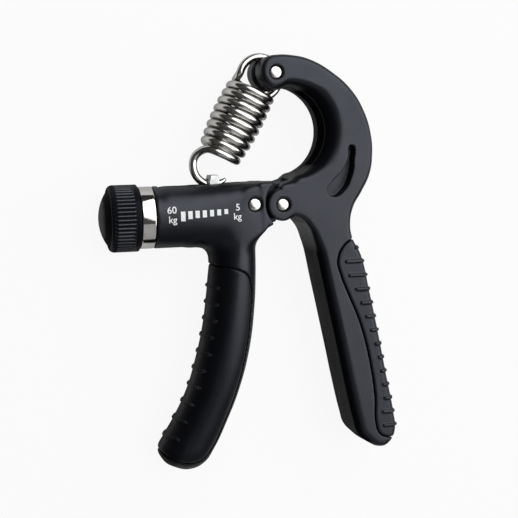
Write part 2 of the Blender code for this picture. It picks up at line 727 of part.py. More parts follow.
def spring_route():
    """The wire's centre line: lower hook, coil and upper hook, as one unbroken line."""
    def tangent(f, at, step=0.01):
        return (f(at + step) - f(at - step)) / (2 * step)

    def lower(t):
        return hook_point(lower_hook_centre(), LOWER_HOOK_R, t)

    tilt = math.radians(UPPER_HOOK_TILT)
    reach = UPPER_HOOK_R - WIRE_R - PIN_R - GAP
    centre = (SPRING_PIN[0] - reach * math.cos(tilt), SPRING_PIN[1] - reach * math.sin(tilt))

    def upper(t):
        return hook_point(centre, UPPER_HOOK_R, t)

    sweep = LOWER_HOOK_END - LOWER_HOOK_START
    route = [lower(LOWER_HOOK_START + sweep * i / 10) for i in range(11)]
    chord = (coil_point(COIL_START) - lower(LOWER_HOOK_END)).length
    way_in = -tangent(lower, LOWER_HOOK_END).normalized() * chord
    way_on = tangent(coil_point, COIL_START).normalized() * chord
    route += eased(lower(LOWER_HOOK_END), way_in, coil_point(COIL_START), way_on, 4)
    sweep = COIL_END - COIL_START
    count = round(sweep * CURL_POINTS)
    route += [coil_point(COIL_START + sweep * i / count) for i in range(count + 1)]
    chord = (upper(UPPER_HOOK_START) - coil_point(COIL_END)).length
    way_in = tangent(coil_point, COIL_END).normalized() * chord
    way_on = -tangent(upper, UPPER_HOOK_START).normalized() * chord
    route += eased(coil_point(COIL_END), way_in, upper(UPPER_HOOK_START), way_on, 5)
    sweep = UPPER_HOOK_END - UPPER_HOOK_START
    route += [upper(UPPER_HOOK_START + sweep * i / 13) for i in range(14)]
    return route


def least_gap(route, reach):
    """The least distance between parts of the route more than a reach apart along it."""
    samples, along, total = [], [], 0.0
    for a, b in zip(route, route[1:]):
        for i in range(6):
            samples.append(a.lerp(b, i / 6))
            along.append(total + (b - a).length * i / 6)
        total += (b - a).length
    least = total
    for i, p in enumerate(samples):
        for j in range(i + 1, len(samples)):
            if along[j] - along[i] > reach:
                least = min(least, (samples[j] - p).length)
    return least


def make_spring():
    """The wound spring, one unbroken tube."""
    route = spring_route()
    curve = bpy.data.curves.new("spring_wire", "CURVE")
    curve.dimensions = "3D"
    curve.bevel_depth = WIRE_R * MM
    curve.bevel_resolution = 1
    curve.use_fill_caps = True
    curve.twist_mode = "MINIMUM"
    spline = curve.splines.new("POLY")
    spline.points.add(len(route) - 1)
    for knot, point in zip(spline.points, route):
        knot.co = (*(point * MM), 1)
    wire = solid("spring_blank", link(bpy.data.objects.new("spring_wire", curve), cutters))
    print("least gap in the spring, mm:", round(least_gap(route, 6 * WIRE_R) - 2 * WIRE_R, 3))
    finish(wire, "main_spring", chrome, spring)


for old in list(bpy.data.objects):
    bpy.data.objects.remove(old)

part = collection("hand_gripper")
cutters = collection("cutters")
body_places = {}

black = material("black_body", (0.012, 0.013, 0.016), 0.42, 0.0)
rubber = material("black_rubber", (0.014, 0.014, 0.016), 0.62, 0.0)
dial_black = material("dial_black", (0.010, 0.010, 0.012), 0.45, 0.0)
cap_black = material("cap_black", (0.012, 0.013, 0.013), 0.35, 0.0)
steel = material("bright_steel", (0.75, 0.75, 0.76), 0.15, 1.0)
chrome = material("chrome_plate", (0.80, 0.80, 0.81), 0.10, 1.0)
zinc = material("zinc_plate", (0.62, 0.63, 0.64), 0.28, 1.0)

frame_empty = body("hand_gripper_frame", PIVOT_X, PIVOT_Y, KNOB_R)


def joint(name, x, y, parent):
    """A body's empty, placed from the squeeze pivot."""
    return body(name, x + PIVOT_X, y + PIVOT_Y, KNOB_R, parent)


right_body = joint("right_body", 0, 0, frame_empty)
left_body = joint("left_body", 0, 0, right_body)
knob = joint("knob", BARREL_END, AXIS_Y, left_body)
nut = joint("nut", NUT_X, AXIS_Y, left_body)
spring = joint("spring", *SPRING_PIN, right_body)

make_right_body()
make_left_body()
make_pins()
make_knob(make_end_cap())
make_nut()
make_spring()
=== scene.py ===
"""The finish of an adjustable hand gripper: moulded bodies, rubber grips, plated metal and the studio.

Lengths in the formulas are millimetres from the squeeze pivot and the middle plane, as X towards the
curved arm, Y towards the spring and Z towards the front. place() puts them into the frame in metres.
"""
import json
import math

import bmesh
import bpy
import numpy as np
import openvdb
from bpy.props import FloatProperty, FloatVectorProperty, IntProperty, PointerProperty
from mathutils import Matrix, Vector

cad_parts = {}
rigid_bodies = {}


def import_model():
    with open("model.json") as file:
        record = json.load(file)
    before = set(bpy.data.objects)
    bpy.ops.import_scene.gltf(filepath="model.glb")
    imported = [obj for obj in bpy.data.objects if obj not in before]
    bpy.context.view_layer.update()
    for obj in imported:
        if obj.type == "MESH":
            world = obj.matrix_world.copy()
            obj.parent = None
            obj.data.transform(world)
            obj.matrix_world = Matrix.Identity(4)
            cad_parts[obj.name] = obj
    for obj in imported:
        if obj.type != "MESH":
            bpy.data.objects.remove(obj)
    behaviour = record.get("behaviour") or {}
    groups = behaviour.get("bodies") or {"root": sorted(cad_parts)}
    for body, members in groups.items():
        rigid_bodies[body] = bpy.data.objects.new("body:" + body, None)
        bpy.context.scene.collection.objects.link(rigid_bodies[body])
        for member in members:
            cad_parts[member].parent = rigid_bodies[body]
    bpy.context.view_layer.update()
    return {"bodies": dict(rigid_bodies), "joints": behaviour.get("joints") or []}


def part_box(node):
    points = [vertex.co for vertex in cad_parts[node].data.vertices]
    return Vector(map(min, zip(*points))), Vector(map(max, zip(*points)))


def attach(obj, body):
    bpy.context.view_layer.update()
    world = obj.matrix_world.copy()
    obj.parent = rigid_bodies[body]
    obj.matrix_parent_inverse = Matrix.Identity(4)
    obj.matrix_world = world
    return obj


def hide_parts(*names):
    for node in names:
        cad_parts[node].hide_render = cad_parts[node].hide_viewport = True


bl_info = {
    "name": "Hand gripper finish",
    "version": (1, 0, 0),
    "blender": (4, 5, 0),
    "location": "3D View > Sidebar > Gripper",
    "description": "Dresses the hand gripper's solids with their final surfaces, materials and studio",
    "category": "Object",
}

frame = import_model()

MM = 0.001
GAP = 0.3
joints = {joint["name"]: joint for joint in frame["joints"]}
PIVOT = np.array(joints["squeeze"]["pos_m"]) / MM


def node_box(name):
    """A node's lowest and highest corner, in millimetres from the pivot."""
    return np.array(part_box(name)) / MM - PIVOT


# Sizes read from the solids
pin_box, cap_box, dial_box = node_box("pivot_pin"), node_box("end_cap"), node_box("knob_dial")
washer_box, nut_box, screw_box = node_box("thrust_washer"), node_box("travelling_nut"), node_box("lead_screw")
PIN_R, PIN_HALF = (pin_box[1, 0] - pin_box[0, 0]) / 2, pin_box[1, 2]
SPRING_PIN = np.array(joints["spring_swing"]["pos_m"][:2]) / MM - PIVOT[:2]
CROSS_PIN = node_box("cross_pin")[:, :2].sum(0) / 2
HALF_T = node_box("right_frame")[1, 2]
AXIS_Y = joints["knob_turn"]["pos_m"][1] / MM - PIVOT[1]
CAP_LEFT, CAP_RIGHT = cap_box[:, 0]
KNOB_LEFT, KNOB_RIGHT = dial_box[:, 0]
KNOB_R = dial_box[1, 2]
DOME_LEFT = node_box("knob_cap")[0, 0]
WASHER_LEFT, WASHER_RIGHT = washer_box[:, 0]
WASHER_R = washer_box[1, 2]
NUT_X, NUT_TOP, NUT_HALF = nut_box[:, 0].sum() / 2, nut_box[1, 1], (nut_box[1, 0] - nut_box[0, 0]) / 2
SCREW_LEFT, SCREW_RIGHT = screw_box[:, 0]
SCREW_R = screw_box[1, 2]

# Both bodies
RIGHT_EDGE = 2.1
ARM_IN_EDGE = 5.4
REAR_SHARE = 0.2
DRAFT = 0.045
KNUCKLE_EDGE = 0.9
LEFT_EDGE = 8.8

# Pivot joint
KNUCKLE_R = 5.9
TONGUE_R = 5.5
TONGUE_HALF = 4.4
TONGUE_TOP = 8.2
TONGUE_END = 4.2
TONGUE_SWEEP = 3.0
SOCKET = (3.7, 0.4)
SOCKET_R = 10.1
HEAD_TOP = 8.3

# Curved arm
ARM = (1.2, 26.3)
ARM_IN_R = 16.4
FORK_HALF = 2.4
FORK_END = 6.2
TEARDROP_DEPTH = 4.5

# Barrel, end cap and knob
BARREL_R = 11.25
BARREL_END = -46.1
BORE_R = 7.8
BORE_END = -15.0
SLOT_HALF = 3.6
SLOT_FROM = -44.0
SLOT_TO = -13.6
SLOT_FLOOR = 1.5
SLOT_RAISE = 0.6
KNOB_WEB = 3.0
KNOB_WALL = 1.9
KNOB_COLLAR = 1.9
KNOB_SHOULDER = 1.9
KNOB_CROWN = 1.5
KNOB_RIM = 0.35
HUB_R = 5.2
HUB_LENGTH = 2.6
RIBS = 50
RIB_SIDES = 12
DOME_LIP = 1.6
THREAD_DEPTH = 0.42

# Nut and spring
LUG_BASE = 2.1
LUG_TIP = 1.4
LUG_HALF = 3.2
EYE_R = 2.0
COIL_FOOT = (-20.8, 18.7)
COIL_HEAD = (-8.6, 40.7)
COIL_GAPS = 8
COIL_FOOT_R = 6.7
COIL_HEAD_R = 7.7
COIL_BULGE = 0.9
LOWER_HOOK_R = 7.1
LOWER_HOOK_START = -50.0
CUT_TIP = 3.0
HOOK_DEPTH = 3.5
UPPER_HOOK_R = 7.45
HOOK_CLEARANCE = 0.12
UPPER_HOOK_TILT = 22.0
UPPER_HOOK_END = -60.0

# Grips
SKIN = 2.2
RIB_HEIGHT = 1.25

# Corners of the right body's outline: outer edge of the arm and the handle, then the inner edge.
# Ribs: where each one ends, the first one's height, the last one's, and the side that they grow to
RIGHT_OUTER = [
    (-1, 53.8), (5, 53.6), (11.2, 52.2), (19.6, 47.6), (27.4, 40.6), (32, 32.8), (34.4, 24.6),
    (34.8, 17), (33.6, 10), (30.2, 3.4), (27.2, -1.5), (25.8, -7.5), (26.5, -13), (29.7, -19.6),
    (32.9, -33.8), (35.9, -48.7), (38.9, -65.1), (41.7, -80.3), (42.2, -86.2), (40.4, -90.6),
    (36.2, -92.8), (31.2, -91), (27.4, -87.2), (25.8, -82),
]
RIGHT_INNER = [
    (23.7, -72.9), (19.7, -52.7), (15.1, -30), (11.6, -13.6), (9.9, -8.9), (7, -5.7), (3.6, -4.2),
    (1.8, 0), (1.6, 5),
]
TIP = [
    (3.2, 42.2), (0.6, 41.3), (-2.2, 41.3), (-4.9, 42.9), (-6.7, 45.4), (-7.2, 48.2), (-6.4, 51),
    (-4.3, 53.1),
]
KNUCKLE_ROOT = [
    (2.6, -5.2), (6, -4), (12, -1), (12, 5), (6, 8.8), (2.6, 8.6), (0.4, 7.8), (-1.4, 6.2),
]
TEARDROP = [
    (26.3, 20.8), (27.1, 15.2), (25.8, 8.6), (23.2, 4.3), (19.6, 2.2), (16.7, 4), (18.2, 7.2),
    (22.6, 11.6), (24.9, 16),
]
RIGHT_GRIP_EDGE = [
    (30, -12.2), (26.4, -13.3), (22.3, -16.1), (20.1, -21.4), (21.2, -26.8), (23.5, -32.8),
    (28.4, -45.2), (32, -60.1), (33.7, -72.6), (34.1, -84), (35.6, -87.6), (39.2, -89.2), (46, -89.4),
    (56, -89.4), (56, -12.2),
]
RIGHT_RIBS = (
    [27.4, 23.8, 24.9, 27.4, 29.4, 31.2, 33, 34.7, 35.9, 36.8, 37.4, 37.9, 37.2, 37.5], -16.6, -84.3, 1)

# Outline of the left handle, from inside the head down its right edge and up its left one
LEFT_HANDLE = [
    (-17, -2), (-12, -2), (-8.6, -4.6), (-8.2, -8.6), (-9, -12.6), (-9, -17), (-9.1, -24.8),
    (-10, -38.4), (-12.3, -53.3), (-16.4, -67.4), (-21.6, -79.4), (-26.6, -89), (-30.4, -94),
    (-36, -96.2), (-41.6, -95), (-45.8, -92), (-46.6, -88.6), (-44.3, -84.2), (-40.4, -78),
    (-35.2, -67.9), (-31.3, -56.2), (-28.4, -44.6), (-26.6, -32.9), (-25.6, -24.6), (-24.2, -16),
    (-22, -7),
]
ROOT_FILLET = [
    (-19, -25), (-22.6, -25), (-24, -20.6), (-25, -17.6), (-27.2, -15), (-30.4, -13.5),
    (-34, -12.8), (-30, -8), (-19, -8),
]
HEAD_OUTLINE = [
    (-9, 7.6), (-8, HEAD_TOP), (-1, HEAD_TOP), (-1, -6.4), (-3.2, -6.9), (-5.4, -8), (-8.2, -10.3),
]
LEFT_FLANK = [
    (-96, -47), (-84.2, -43.5), (-78, -39.6), (-67.9, -34.4), (-56.2, -30.5), (-44.6, -27.6),
    (-32.9, -25.8), (-24.6, -24.8), (-16, -24.2),
]
FLANK_WIDTH = 14.0
LEFT_GRIP_EDGE = [
    (-42, -19.6), (-28.2, -20.8), (-17.4, -22.6), (-13.4, -25), (-11.9, -29.1), (-12.6, -41.2),
    (-14.4, -53), (-18.2, -67), (-23.4, -79.2), (-28.4, -88.4), (-33, -92.4), (-39, -92.6),
    (-45, -90), (-52, -86.6), (-62, -84), (-62, -19.6),
]
LEFT_RIBS = ([-24.4, -25, -25.9, -27.1, -28.4, -30.5, -32.6, -35.2, -38, -41.2], -29.3, -83.6, -1)

# Stations of the barrel: x, top, bottom and how square its section is
BARREL_STATIONS = [
    (BARREL_END, AXIS_Y + BARREL_R, AXIS_Y - BARREL_R, 2.0),
    (SLOT_FROM - 0.5, AXIS_Y + BARREL_R - 0.1, AXIS_Y - BARREL_R, 2.0),
    (SLOT_FROM + 2.5, AXIS_Y + BARREL_R + SLOT_RAISE, AXIS_Y - BARREL_R, 2.0),
    (-34.0, AXIS_Y + BARREL_R + SLOT_RAISE, AXIS_Y - BARREL_R, 2.0),
    (-27.0, AXIS_Y + BARREL_R + SLOT_RAISE, AXIS_Y - BARREL_R, 2.2),
    (-21.0, 8.5, AXIS_Y - BARREL_R, 2.6),
    (-15.0, 8.4, -14.0, 3.4),
    (-9.5, HEAD_TOP, -12.2, 7.0),
    (-6.5, HEAD_TOP, -9.2, 9.0),
]

# Print on the barrel: where each word's middle stands, its height, and the bars of the scale
WORDS = [
    ("60", -40.9, -0.5, 2.55), ("kg", -40.7, -3.9, 2.5), ("5", -16.95, -0.35, 2.5), ("kg", -17.2, -3.6, 2.4)]
BARS_FROM = -37.75
BARS_PITCH = 2.63
BAR_WIDTHS = (1.62, 1.58, 1.54, 1.5, 1.46, 1.42, 1.36)
BARS_TOP = (-1.0, -0.72)
BAR_HEIGHTS = (3.45, 2.8, 2.6, 2.5, 2.3, 2.1, 1.75)
PRINT_PROUD = 0.03
LETTER_SIZE = 1.36
LETTER_BOLD = 0.03


class GripperSizes(bpy.types.PropertyGroup):
    """Sizes of the finish."""

    wire: FloatProperty(
        name="Spring wire", description="Diameter of the spring's wire", default=0.0029, unit="LENGTH")
    rib_rise: FloatProperty(
        name="Rib rise", description="How far the grips' ribs stand up", default=0.0006, unit="LENGTH")
    dial_groove: FloatProperty(
        name="Dial groove", description="Depth of the grooves round the knob", default=0.0006, unit="LENGTH")
    thread_pitch: FloatProperty(
        name="Thread pitch", description="Pitch of the lead screw's thread", default=0.0015, unit="LENGTH")
    body_step: FloatProperty(
        name="Body step", description="Mesh size of the moulded bodies", default=0.00042, unit="LENGTH")
    grip_step: FloatProperty(
        name="Grip step", description="Mesh size of the rubber grips", default=0.00032, unit="LENGTH")
    turned_sides: IntProperty(
        name="Turned sides", description="Sides round each turned piece", default=96, min=24)


class GripperColours(bpy.types.PropertyGroup):
    """Colours of the finish."""

    plastic: FloatVectorProperty(
        name="Plastic", description="Moulded bodies", default=(0.0052, 0.0056, 0.0078), size=3, subtype="COLOR")
    rubber: FloatVectorProperty(
        name="Rubber", description="Grips", default=(0.0050, 0.0053, 0.0070), size=3, subtype="COLOR")
    dial: FloatVectorProperty(
        name="Dial", description="Knob's ribbed dial", default=(0.0050, 0.0052, 0.0072), size=3, subtype="COLOR")
    cap: FloatVectorProperty(
        name="Cap", description="Knob's domed cap", default=(0.0050, 0.0052, 0.0058), size=3, subtype="COLOR")
    steel: FloatVectorProperty(
        name="Steel", description="Pins, washer and screws", default=(0.74, 0.73, 0.71), size=3, subtype="COLOR")
    nickel: FloatVectorProperty(
        name="Nickel", description="Spring and end cap", default=(0.76, 0.74, 0.71), size=3, subtype="COLOR")
    zinc: FloatVectorProperty(
        name="Zinc", description="Travelling nut", default=(0.60, 0.61, 0.62), size=3, subtype="COLOR")
    ink: FloatVectorProperty(
        name="Ink", description="Print on the barrel", default=(0.86, 0.87, 0.88), size=3, subtype="COLOR")


def sizes():
    """The sizes that a user may change."""
    return bpy.context.scene.gripper_sizes


def place(points):
    """Points in millimetres from the pivot, put into the frame in metres."""
    return (np.asarray(points, float) + PIVOT) * MM


def smooth_outline(points, steps=8):
    """Closed curve through the points: each span is a cubic, its end slopes the mean of both directions."""
    p = np.array(points, float)
    back, ahead = p - np.roll(p, 1, 0), np.roll(p, -1, 0) - p
    back_length, ahead_length = (np.linalg.norm(a, axis=1, keepdims=True) for a in (back, ahead))
    slope = back / back_length + ahead / ahead_length
    slope /= np.linalg.norm(slope, axis=1, keepdims=True) * 2.5614
    leave, arrive = p + slope * ahead_length, p - slope * back_length
    s = np.linspace(0, 1, steps, endpoint=False)[None, :, None]
    ends = (p, leave, np.roll(arrive, -1, 0), np.roll(p, -1, 0))
    weights = [(1 - s) ** 3, 3 * s * (1 - s) ** 2, 3 * s * s * (1 - s), s ** 3]
    return sum(weight * end[:, None] for weight, end in zip(weights, ends)).reshape(-1, 2)


def outline_distance(points, x, y):
    """Distance to a closed outline, negative inside: that to the nearest edge, signed by counting crossings."""
    start = np.array(points, np.float32)
    edge = np.roll(start, -1, 0) - start
    length = np.maximum((edge ** 2).sum(1), 1e-9)
    rise = np.where(np.abs(edge[:, 1]) < 1e-6, 1e-6, edge[:, 1])
    x, y = np.broadcast_arrays(x[:, :, 0], y[:, :, 0])
    found = np.empty(x.shape, np.float32)
    for rows in np.array_split(np.arange(len(x)), 40):
        from_x = x[rows][..., None].astype(np.float32) - start[:, 0]
        from_y = y[rows][..., None].astype(np.float32) - start[:, 1]
        share = np.clip((from_x * edge[:, 0] + from_y * edge[:, 1]) / length, 0, 1)
        near = np.hypot(from_x - share * edge[:, 0], from_y - share * edge[:, 1]).min(-1)
        crossed = (from_y < 0) != (from_y - edge[:, 1] < 0)
        crossed &= from_x < from_y * edge[:, 0] / rise
        found[rows] = np.where(crossed.sum(-1) % 2, -near, near)
    return found[..., None]


def traced(points, x, y, steps=8):
    """Distance to the closed curve through the points."""
    return outline_distance(smooth_outline(points, steps), x, y)


def slab(flat, z, half, edge):
    """An outline's field carried along Z to a half thickness, its rims rounded by the edge radius."""
    out, up = flat + edge, np.abs(z) - half + edge
    return np.minimum(np.maximum(out, up), 0) + np.hypot(np.maximum(out, 0), np.maximum(up, 0)) - edge


def soft_union(a, b, soft):
    """The lesser of two fields, with a fillet about as wide as the softness where they meet."""
    near = np.maximum(soft - np.abs(a - b), 0) / soft
    return np.minimum(a, b) - near * near * soft / 4


def soft_cut(a, b, soft):
    """Field a without the space inside field b, the rim between them rounded."""
    return -soft_union(-a, b, soft)


def carve(body, *spaces):
    """A field without each of the spaces, given with the softness of its rim."""
    for space, soft in spaces:
        body = soft_cut(body, space, soft)
    return body


def box_field(x, y, z, low, high):
    """The larger of the distances to a box's six planes."""
    spans = [np.maximum(a - axis, axis - b) for axis, a, b in zip((x, y, z), low, high)]
    return np.maximum(np.maximum(spans[0], spans[1]), spans[2])


def rod_field(x, y, centre, radius):
    """Distance to an endless bar along Z."""
    return np.hypot(x - centre[0], y - centre[1]) - radius


def make_grid(low, high, step):
    """Axes of a block of points, ready to be combined."""
    axes = [np.arange(a, b + step, step, dtype=np.float32) for a, b in zip(low, high)]
    return np.meshgrid(*axes, indexing="ij", sparse=True)


def field_surface(field, low, step):
    """The surface where a field is zero, as points and four-cornered faces."""
    block = openvdb.FloatGrid(3 * step)
    block.copyFromArray(np.clip(field, -3 * step, 3 * step).astype(np.float32))
    points, quads = block.convertToQuads(isovalue=0.0)
    return points * step + np.asarray(low), quads.astype(int)


def grid_faces(rows, columns, rows_wrap=False, columns_wrap=True):
    """Faces between neighbours in a grid of points."""
    i = np.arange(rows if rows_wrap else rows - 1)[:, None]
    j = np.arange(columns if columns_wrap else columns - 1)[None, :]
    below, beside = (i + 1) % rows, (j + 1) % columns
    corners = (i * columns + j, below * columns + j, below * columns + beside, i * columns + beside)
    return np.stack([c.ravel() for c in np.broadcast_arrays(*corners)], axis=1)


def enclosed(points, faces):
    """Six times the volume inside four-cornered faces; it is negative if they point inwards."""
    a, b, c, d = (points[faces[:, k]] for k in range(4))
    return (a * np.cross(b, c)).sum() + (a * np.cross(c, d)).sum()


def add_piece(name, points, faces, look, body, replaced=None, uv=None, shine=None):
    """Makes a piece from points in millimetres, faces out, and hangs it on its body."""
    points = np.asarray(points, float)
    faces = np.asarray(faces)
    if not len(faces):
        raise RuntimeError(f"{name} came out with no surface")
    if enclosed(points, faces) < 0:
        faces = faces[:, ::-1]
    mesh = bpy.data.meshes.new(name)
    mesh.from_pydata(place(points), [], faces)
    if uv is not None:
        layer = mesh.uv_layers.new(name="along")
        layer.data.foreach_set("uv", np.asarray(uv, np.float32)[faces].reshape(-1))
    # painted_sheen: each point's share of the plastic's reflection, a map drawn to paint highlights and shade
    # onto the surface; 1 where a piece has no map
    painted_sheen = mesh.attributes.new("painted_sheen", "FLOAT", "POINT")
    share = np.ones(len(points)) if shine is None else shine(*points.T)
    painted_sheen.data.foreach_set("value", np.asarray(share, np.float32))
    work = bmesh.new()
    work.from_mesh(mesh)
    bmesh.ops.remove_doubles(work, verts=work.verts, dist=1e-7)
    bmesh.ops.dissolve_degenerate(work, edges=work.edges, dist=1e-8)
    work.to_mesh(mesh)
    work.free()
    mesh.shade_smooth()
    return dress(link(bpy.data.objects.new(name, mesh)), look, body, replaced)


def link(obj):
    """Puts a new object in the scene."""
    bpy.context.scene.collection.objects.link(obj)
    return obj


def dress(piece, look, body, replaced=None):
    """Gives a piece its material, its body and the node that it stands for."""
    piece.data.materials.clear()
    piece.data.materials.append(look)
    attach(piece, body)
    if replaced:
        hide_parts(replaced)
    return piece


def unit(vector):
    """A vector of length one."""
    return vector / np.linalg.norm(vector)


def soften(corners, radius, steps=5):
    """A profile with each inner corner rounded: a quadratic bend that starts a radius before the corner."""
    p = np.array(corners, float)
    s = np.linspace(0, 1, steps)[:, None]
    found = [p[:1]]
    for before, corner, after in zip(p, p[1:], p[2:]):
        a, b = (corner + unit(end - corner) * min(radius, np.linalg.norm(end - corner) * 0.45)
                for end in (before, after))
        found.append(a * (1 - s) ** 2 + corner * 2 * s * (1 - s) + b * s * s)
    return np.concatenate([*found, p[-1:]])


def soften_ring(corners, radius, steps):
    """The same for a closed profile."""
    return soften(corners + corners[:2], radius, steps)[1:-1]


def lathe(profile, sides, along="x", centre=(0.0, 0.0), closed=False, relief=None):
    """A profile of (height, radius) rows turned round an axis; a relief gives each point its own radius."""
    height, radius = np.array(profile, float).T
    turn = np.linspace(0, 2 * np.pi, sides, endpoint=False)
    h = np.repeat(height[:, None], sides, 1)
    out = radius[:, None] if relief is None else relief
    c, s = out * np.cos(turn), out * np.sin(turn)
    if along == "x":
        points = np.stack([h, AXIS_Y + c, s], -1)
    else:
        points = np.stack([centre[0] + c, centre[1] + s, h], -1)
    run = np.concatenate([[0], np.cumsum(np.hypot(np.diff(height), np.diff(radius)))])
    uv = np.stack(np.broadcast_arrays(turn[None, :] / (2 * np.pi), run[:, None] / 10), -1)
    return points.reshape(-1, 3), grid_faces(len(height), sides, rows_wrap=closed), uv.reshape(-1, 2)


# Materials


def feed(tree, value, socket):
    """Links another node's output to a socket, or sets the socket to a value."""
    if isinstance(value, bpy.types.NodeSocket):
        tree.links.new(value, socket)
    else:
        socket.default_value = value


def node(tree, kind, group=None, **inputs):
    """A new shader node or placed group, its inputs given by name with spaces as underscores."""
    made = tree.nodes.new(kind)
    if group:
        made.node_tree = group
    for label, value in inputs.items():
        feed(tree, value, made.inputs[label.replace("_", " ")])
    return made


def noise(tree, where, scale, detail=3.0, roughness=0.5):
    """A noise texture on the given coordinates."""
    made = node(tree, "ShaderNodeTexNoise", Vector=where, Scale=scale, Detail=detail, Roughness=roughness)
    return made.outputs["Fac"]


def spread(tree, value, low, high, start=0.0, end=1.0):
    """Carries a value from one range to another."""
    made = node(tree, "ShaderNodeMapRange", Value=value, From_Min=start, From_Max=end, To_Min=low, To_Max=high)
    return made.outputs["Result"]


def math_node(tree, operation, a, b=0.0):
    """A Math node on sockets or numbers."""
    made = tree.nodes.new("ShaderNodeMath")
    made.operation = operation
    feed(tree, a, made.inputs[0])
    feed(tree, b, made.inputs[1])
    return made.outputs[0]


def colour_mix(tree, share, first, second):
    """Two colours mixed by a share from 0 to 1."""
    mix = tree.nodes.new("ShaderNodeMix")
    mix.data_type = "RGBA"
    for index, value in ((0, share), (6, (*first, 1.0)), (7, (*second, 1.0))):
        feed(tree, value, mix.inputs[index])
    return mix.outputs[2]


def object_place(tree):
    """Object coordinates."""
    return tree.nodes.new("ShaderNodeTexCoord").outputs["Object"]


def split(tree, vector):
    """The three shares of a vector."""
    return node(tree, "ShaderNodeSeparateXYZ", Vector=vector).outputs


def node_group(name, inputs, outputs):
    """A new shader node group with numbers in and out."""
    group = bpy.data.node_groups.new(name, "ShaderNodeTree")
    for label, value in inputs.items():
        group.interface.new_socket(label, in_out="INPUT", socket_type="NodeSocketFloat").default_value = value
    for label in outputs:
        group.interface.new_socket(label, in_out="OUTPUT", socket_type="NodeSocketFloat")
    return group, group.nodes.new("NodeGroupInput").outputs, group.nodes.new("NodeGroupOutput").inputs


def grain_group():
    """Fine mould texture: a height and a mask, from two sizes of noise on object coordinates."""
    group, enter, leave = node_group("mould_grain", {"Scale": 1800.0, "Cloud Scale": 90.0}, ("Height", "Cloud"))
    where = object_place(group)
    feed(group, noise(group, where, enter["Scale"], 2.0, 0.6), leave["Height"])
    feed(group, noise(group, where, enter["Cloud Scale"], 3.0, 0.55), leave["Cloud"])
    return group


def handling_group():
    """Traces of use: sparse fine scratches and soft smudges as masks from 0 to 1."""
    group, enter, leave = node_group(
        "handling_marks", {"Scratch Scale": 220.0, "Smudge Scale": 60.0}, ("Scratch", "Smudge"))
    where = object_place(group)
    drawn = node(group, "ShaderNodeMapping", Vector=where, Scale=(1.0, 0.06, 1.0), Rotation=(0.0, 0.3, 0.9))
    lines = noise(group, drawn.outputs[0], enter["Scratch Scale"], 1.0)
    smudge = noise(group, where, enter["Smudge Scale"], 4.0, 0.6)
    feed(group, spread(group, lines, 0.0, 1.0, 0.69, 0.76), leave["Scratch"])
    feed(group, spread(group, smudge, 0.0, 1.0, 0.45, 0.75), leave["Smudge"])
    return group


def tool_group():
    """Marks that follow a turned or drawn surface: noise stretched round it, from the piece's own UV map."""
    group, enter, leave = node_group("tool_marks", {"Round": 2.0, "Along": 300.0}, ("Height",))
    uv = group.nodes.new("ShaderNodeUVMap")
    uv.uv_map = "along"
    u, v, _ = split(group, uv.outputs[0])
    round_it = math_node(group, "MULTIPLY", u, enter["Round"])
    along_it = math_node(group, "MULTIPLY", v, enter["Along"])
    joined = node(group, "ShaderNodeCombineXYZ", X=round_it, Y=along_it).outputs[0]
    feed(group, noise(group, joined, 1.0, 2.0), leave["Height"])
    return group


def new_look(name, colour, roughness, metallic=0.0):
    """A material, its tree and its Principled shader's inputs."""
    look = bpy.data.materials.new(name)
    look.use_nodes = True
    look.diffuse_color = (*colour, 1.0)
    shader = look.node_tree.nodes["Principled BSDF"].inputs
    for label, value in (("Base Color", (*colour, 1.0)), ("Roughness", roughness), ("Metallic", metallic)):
        shader[label].default_value = value
    return look, look.node_tree, shader


def from_edge(tree, start, end):
    """A mask that is 1 where a surface faces the viewer and falls to 0 where it turns away."""
    return spread(tree, tree.nodes.new("ShaderNodeLayerWeight").outputs["Facing"], 1.0, 0.0, start, end)


def bump(tree, shader, height, distance):
    """Feeds a height into the shader's normal."""
    made = node(tree, "ShaderNodeBump", Height=height, Distance=distance, Strength=1.0)
    feed(tree, made.outputs["Normal"], shader["Normal"])


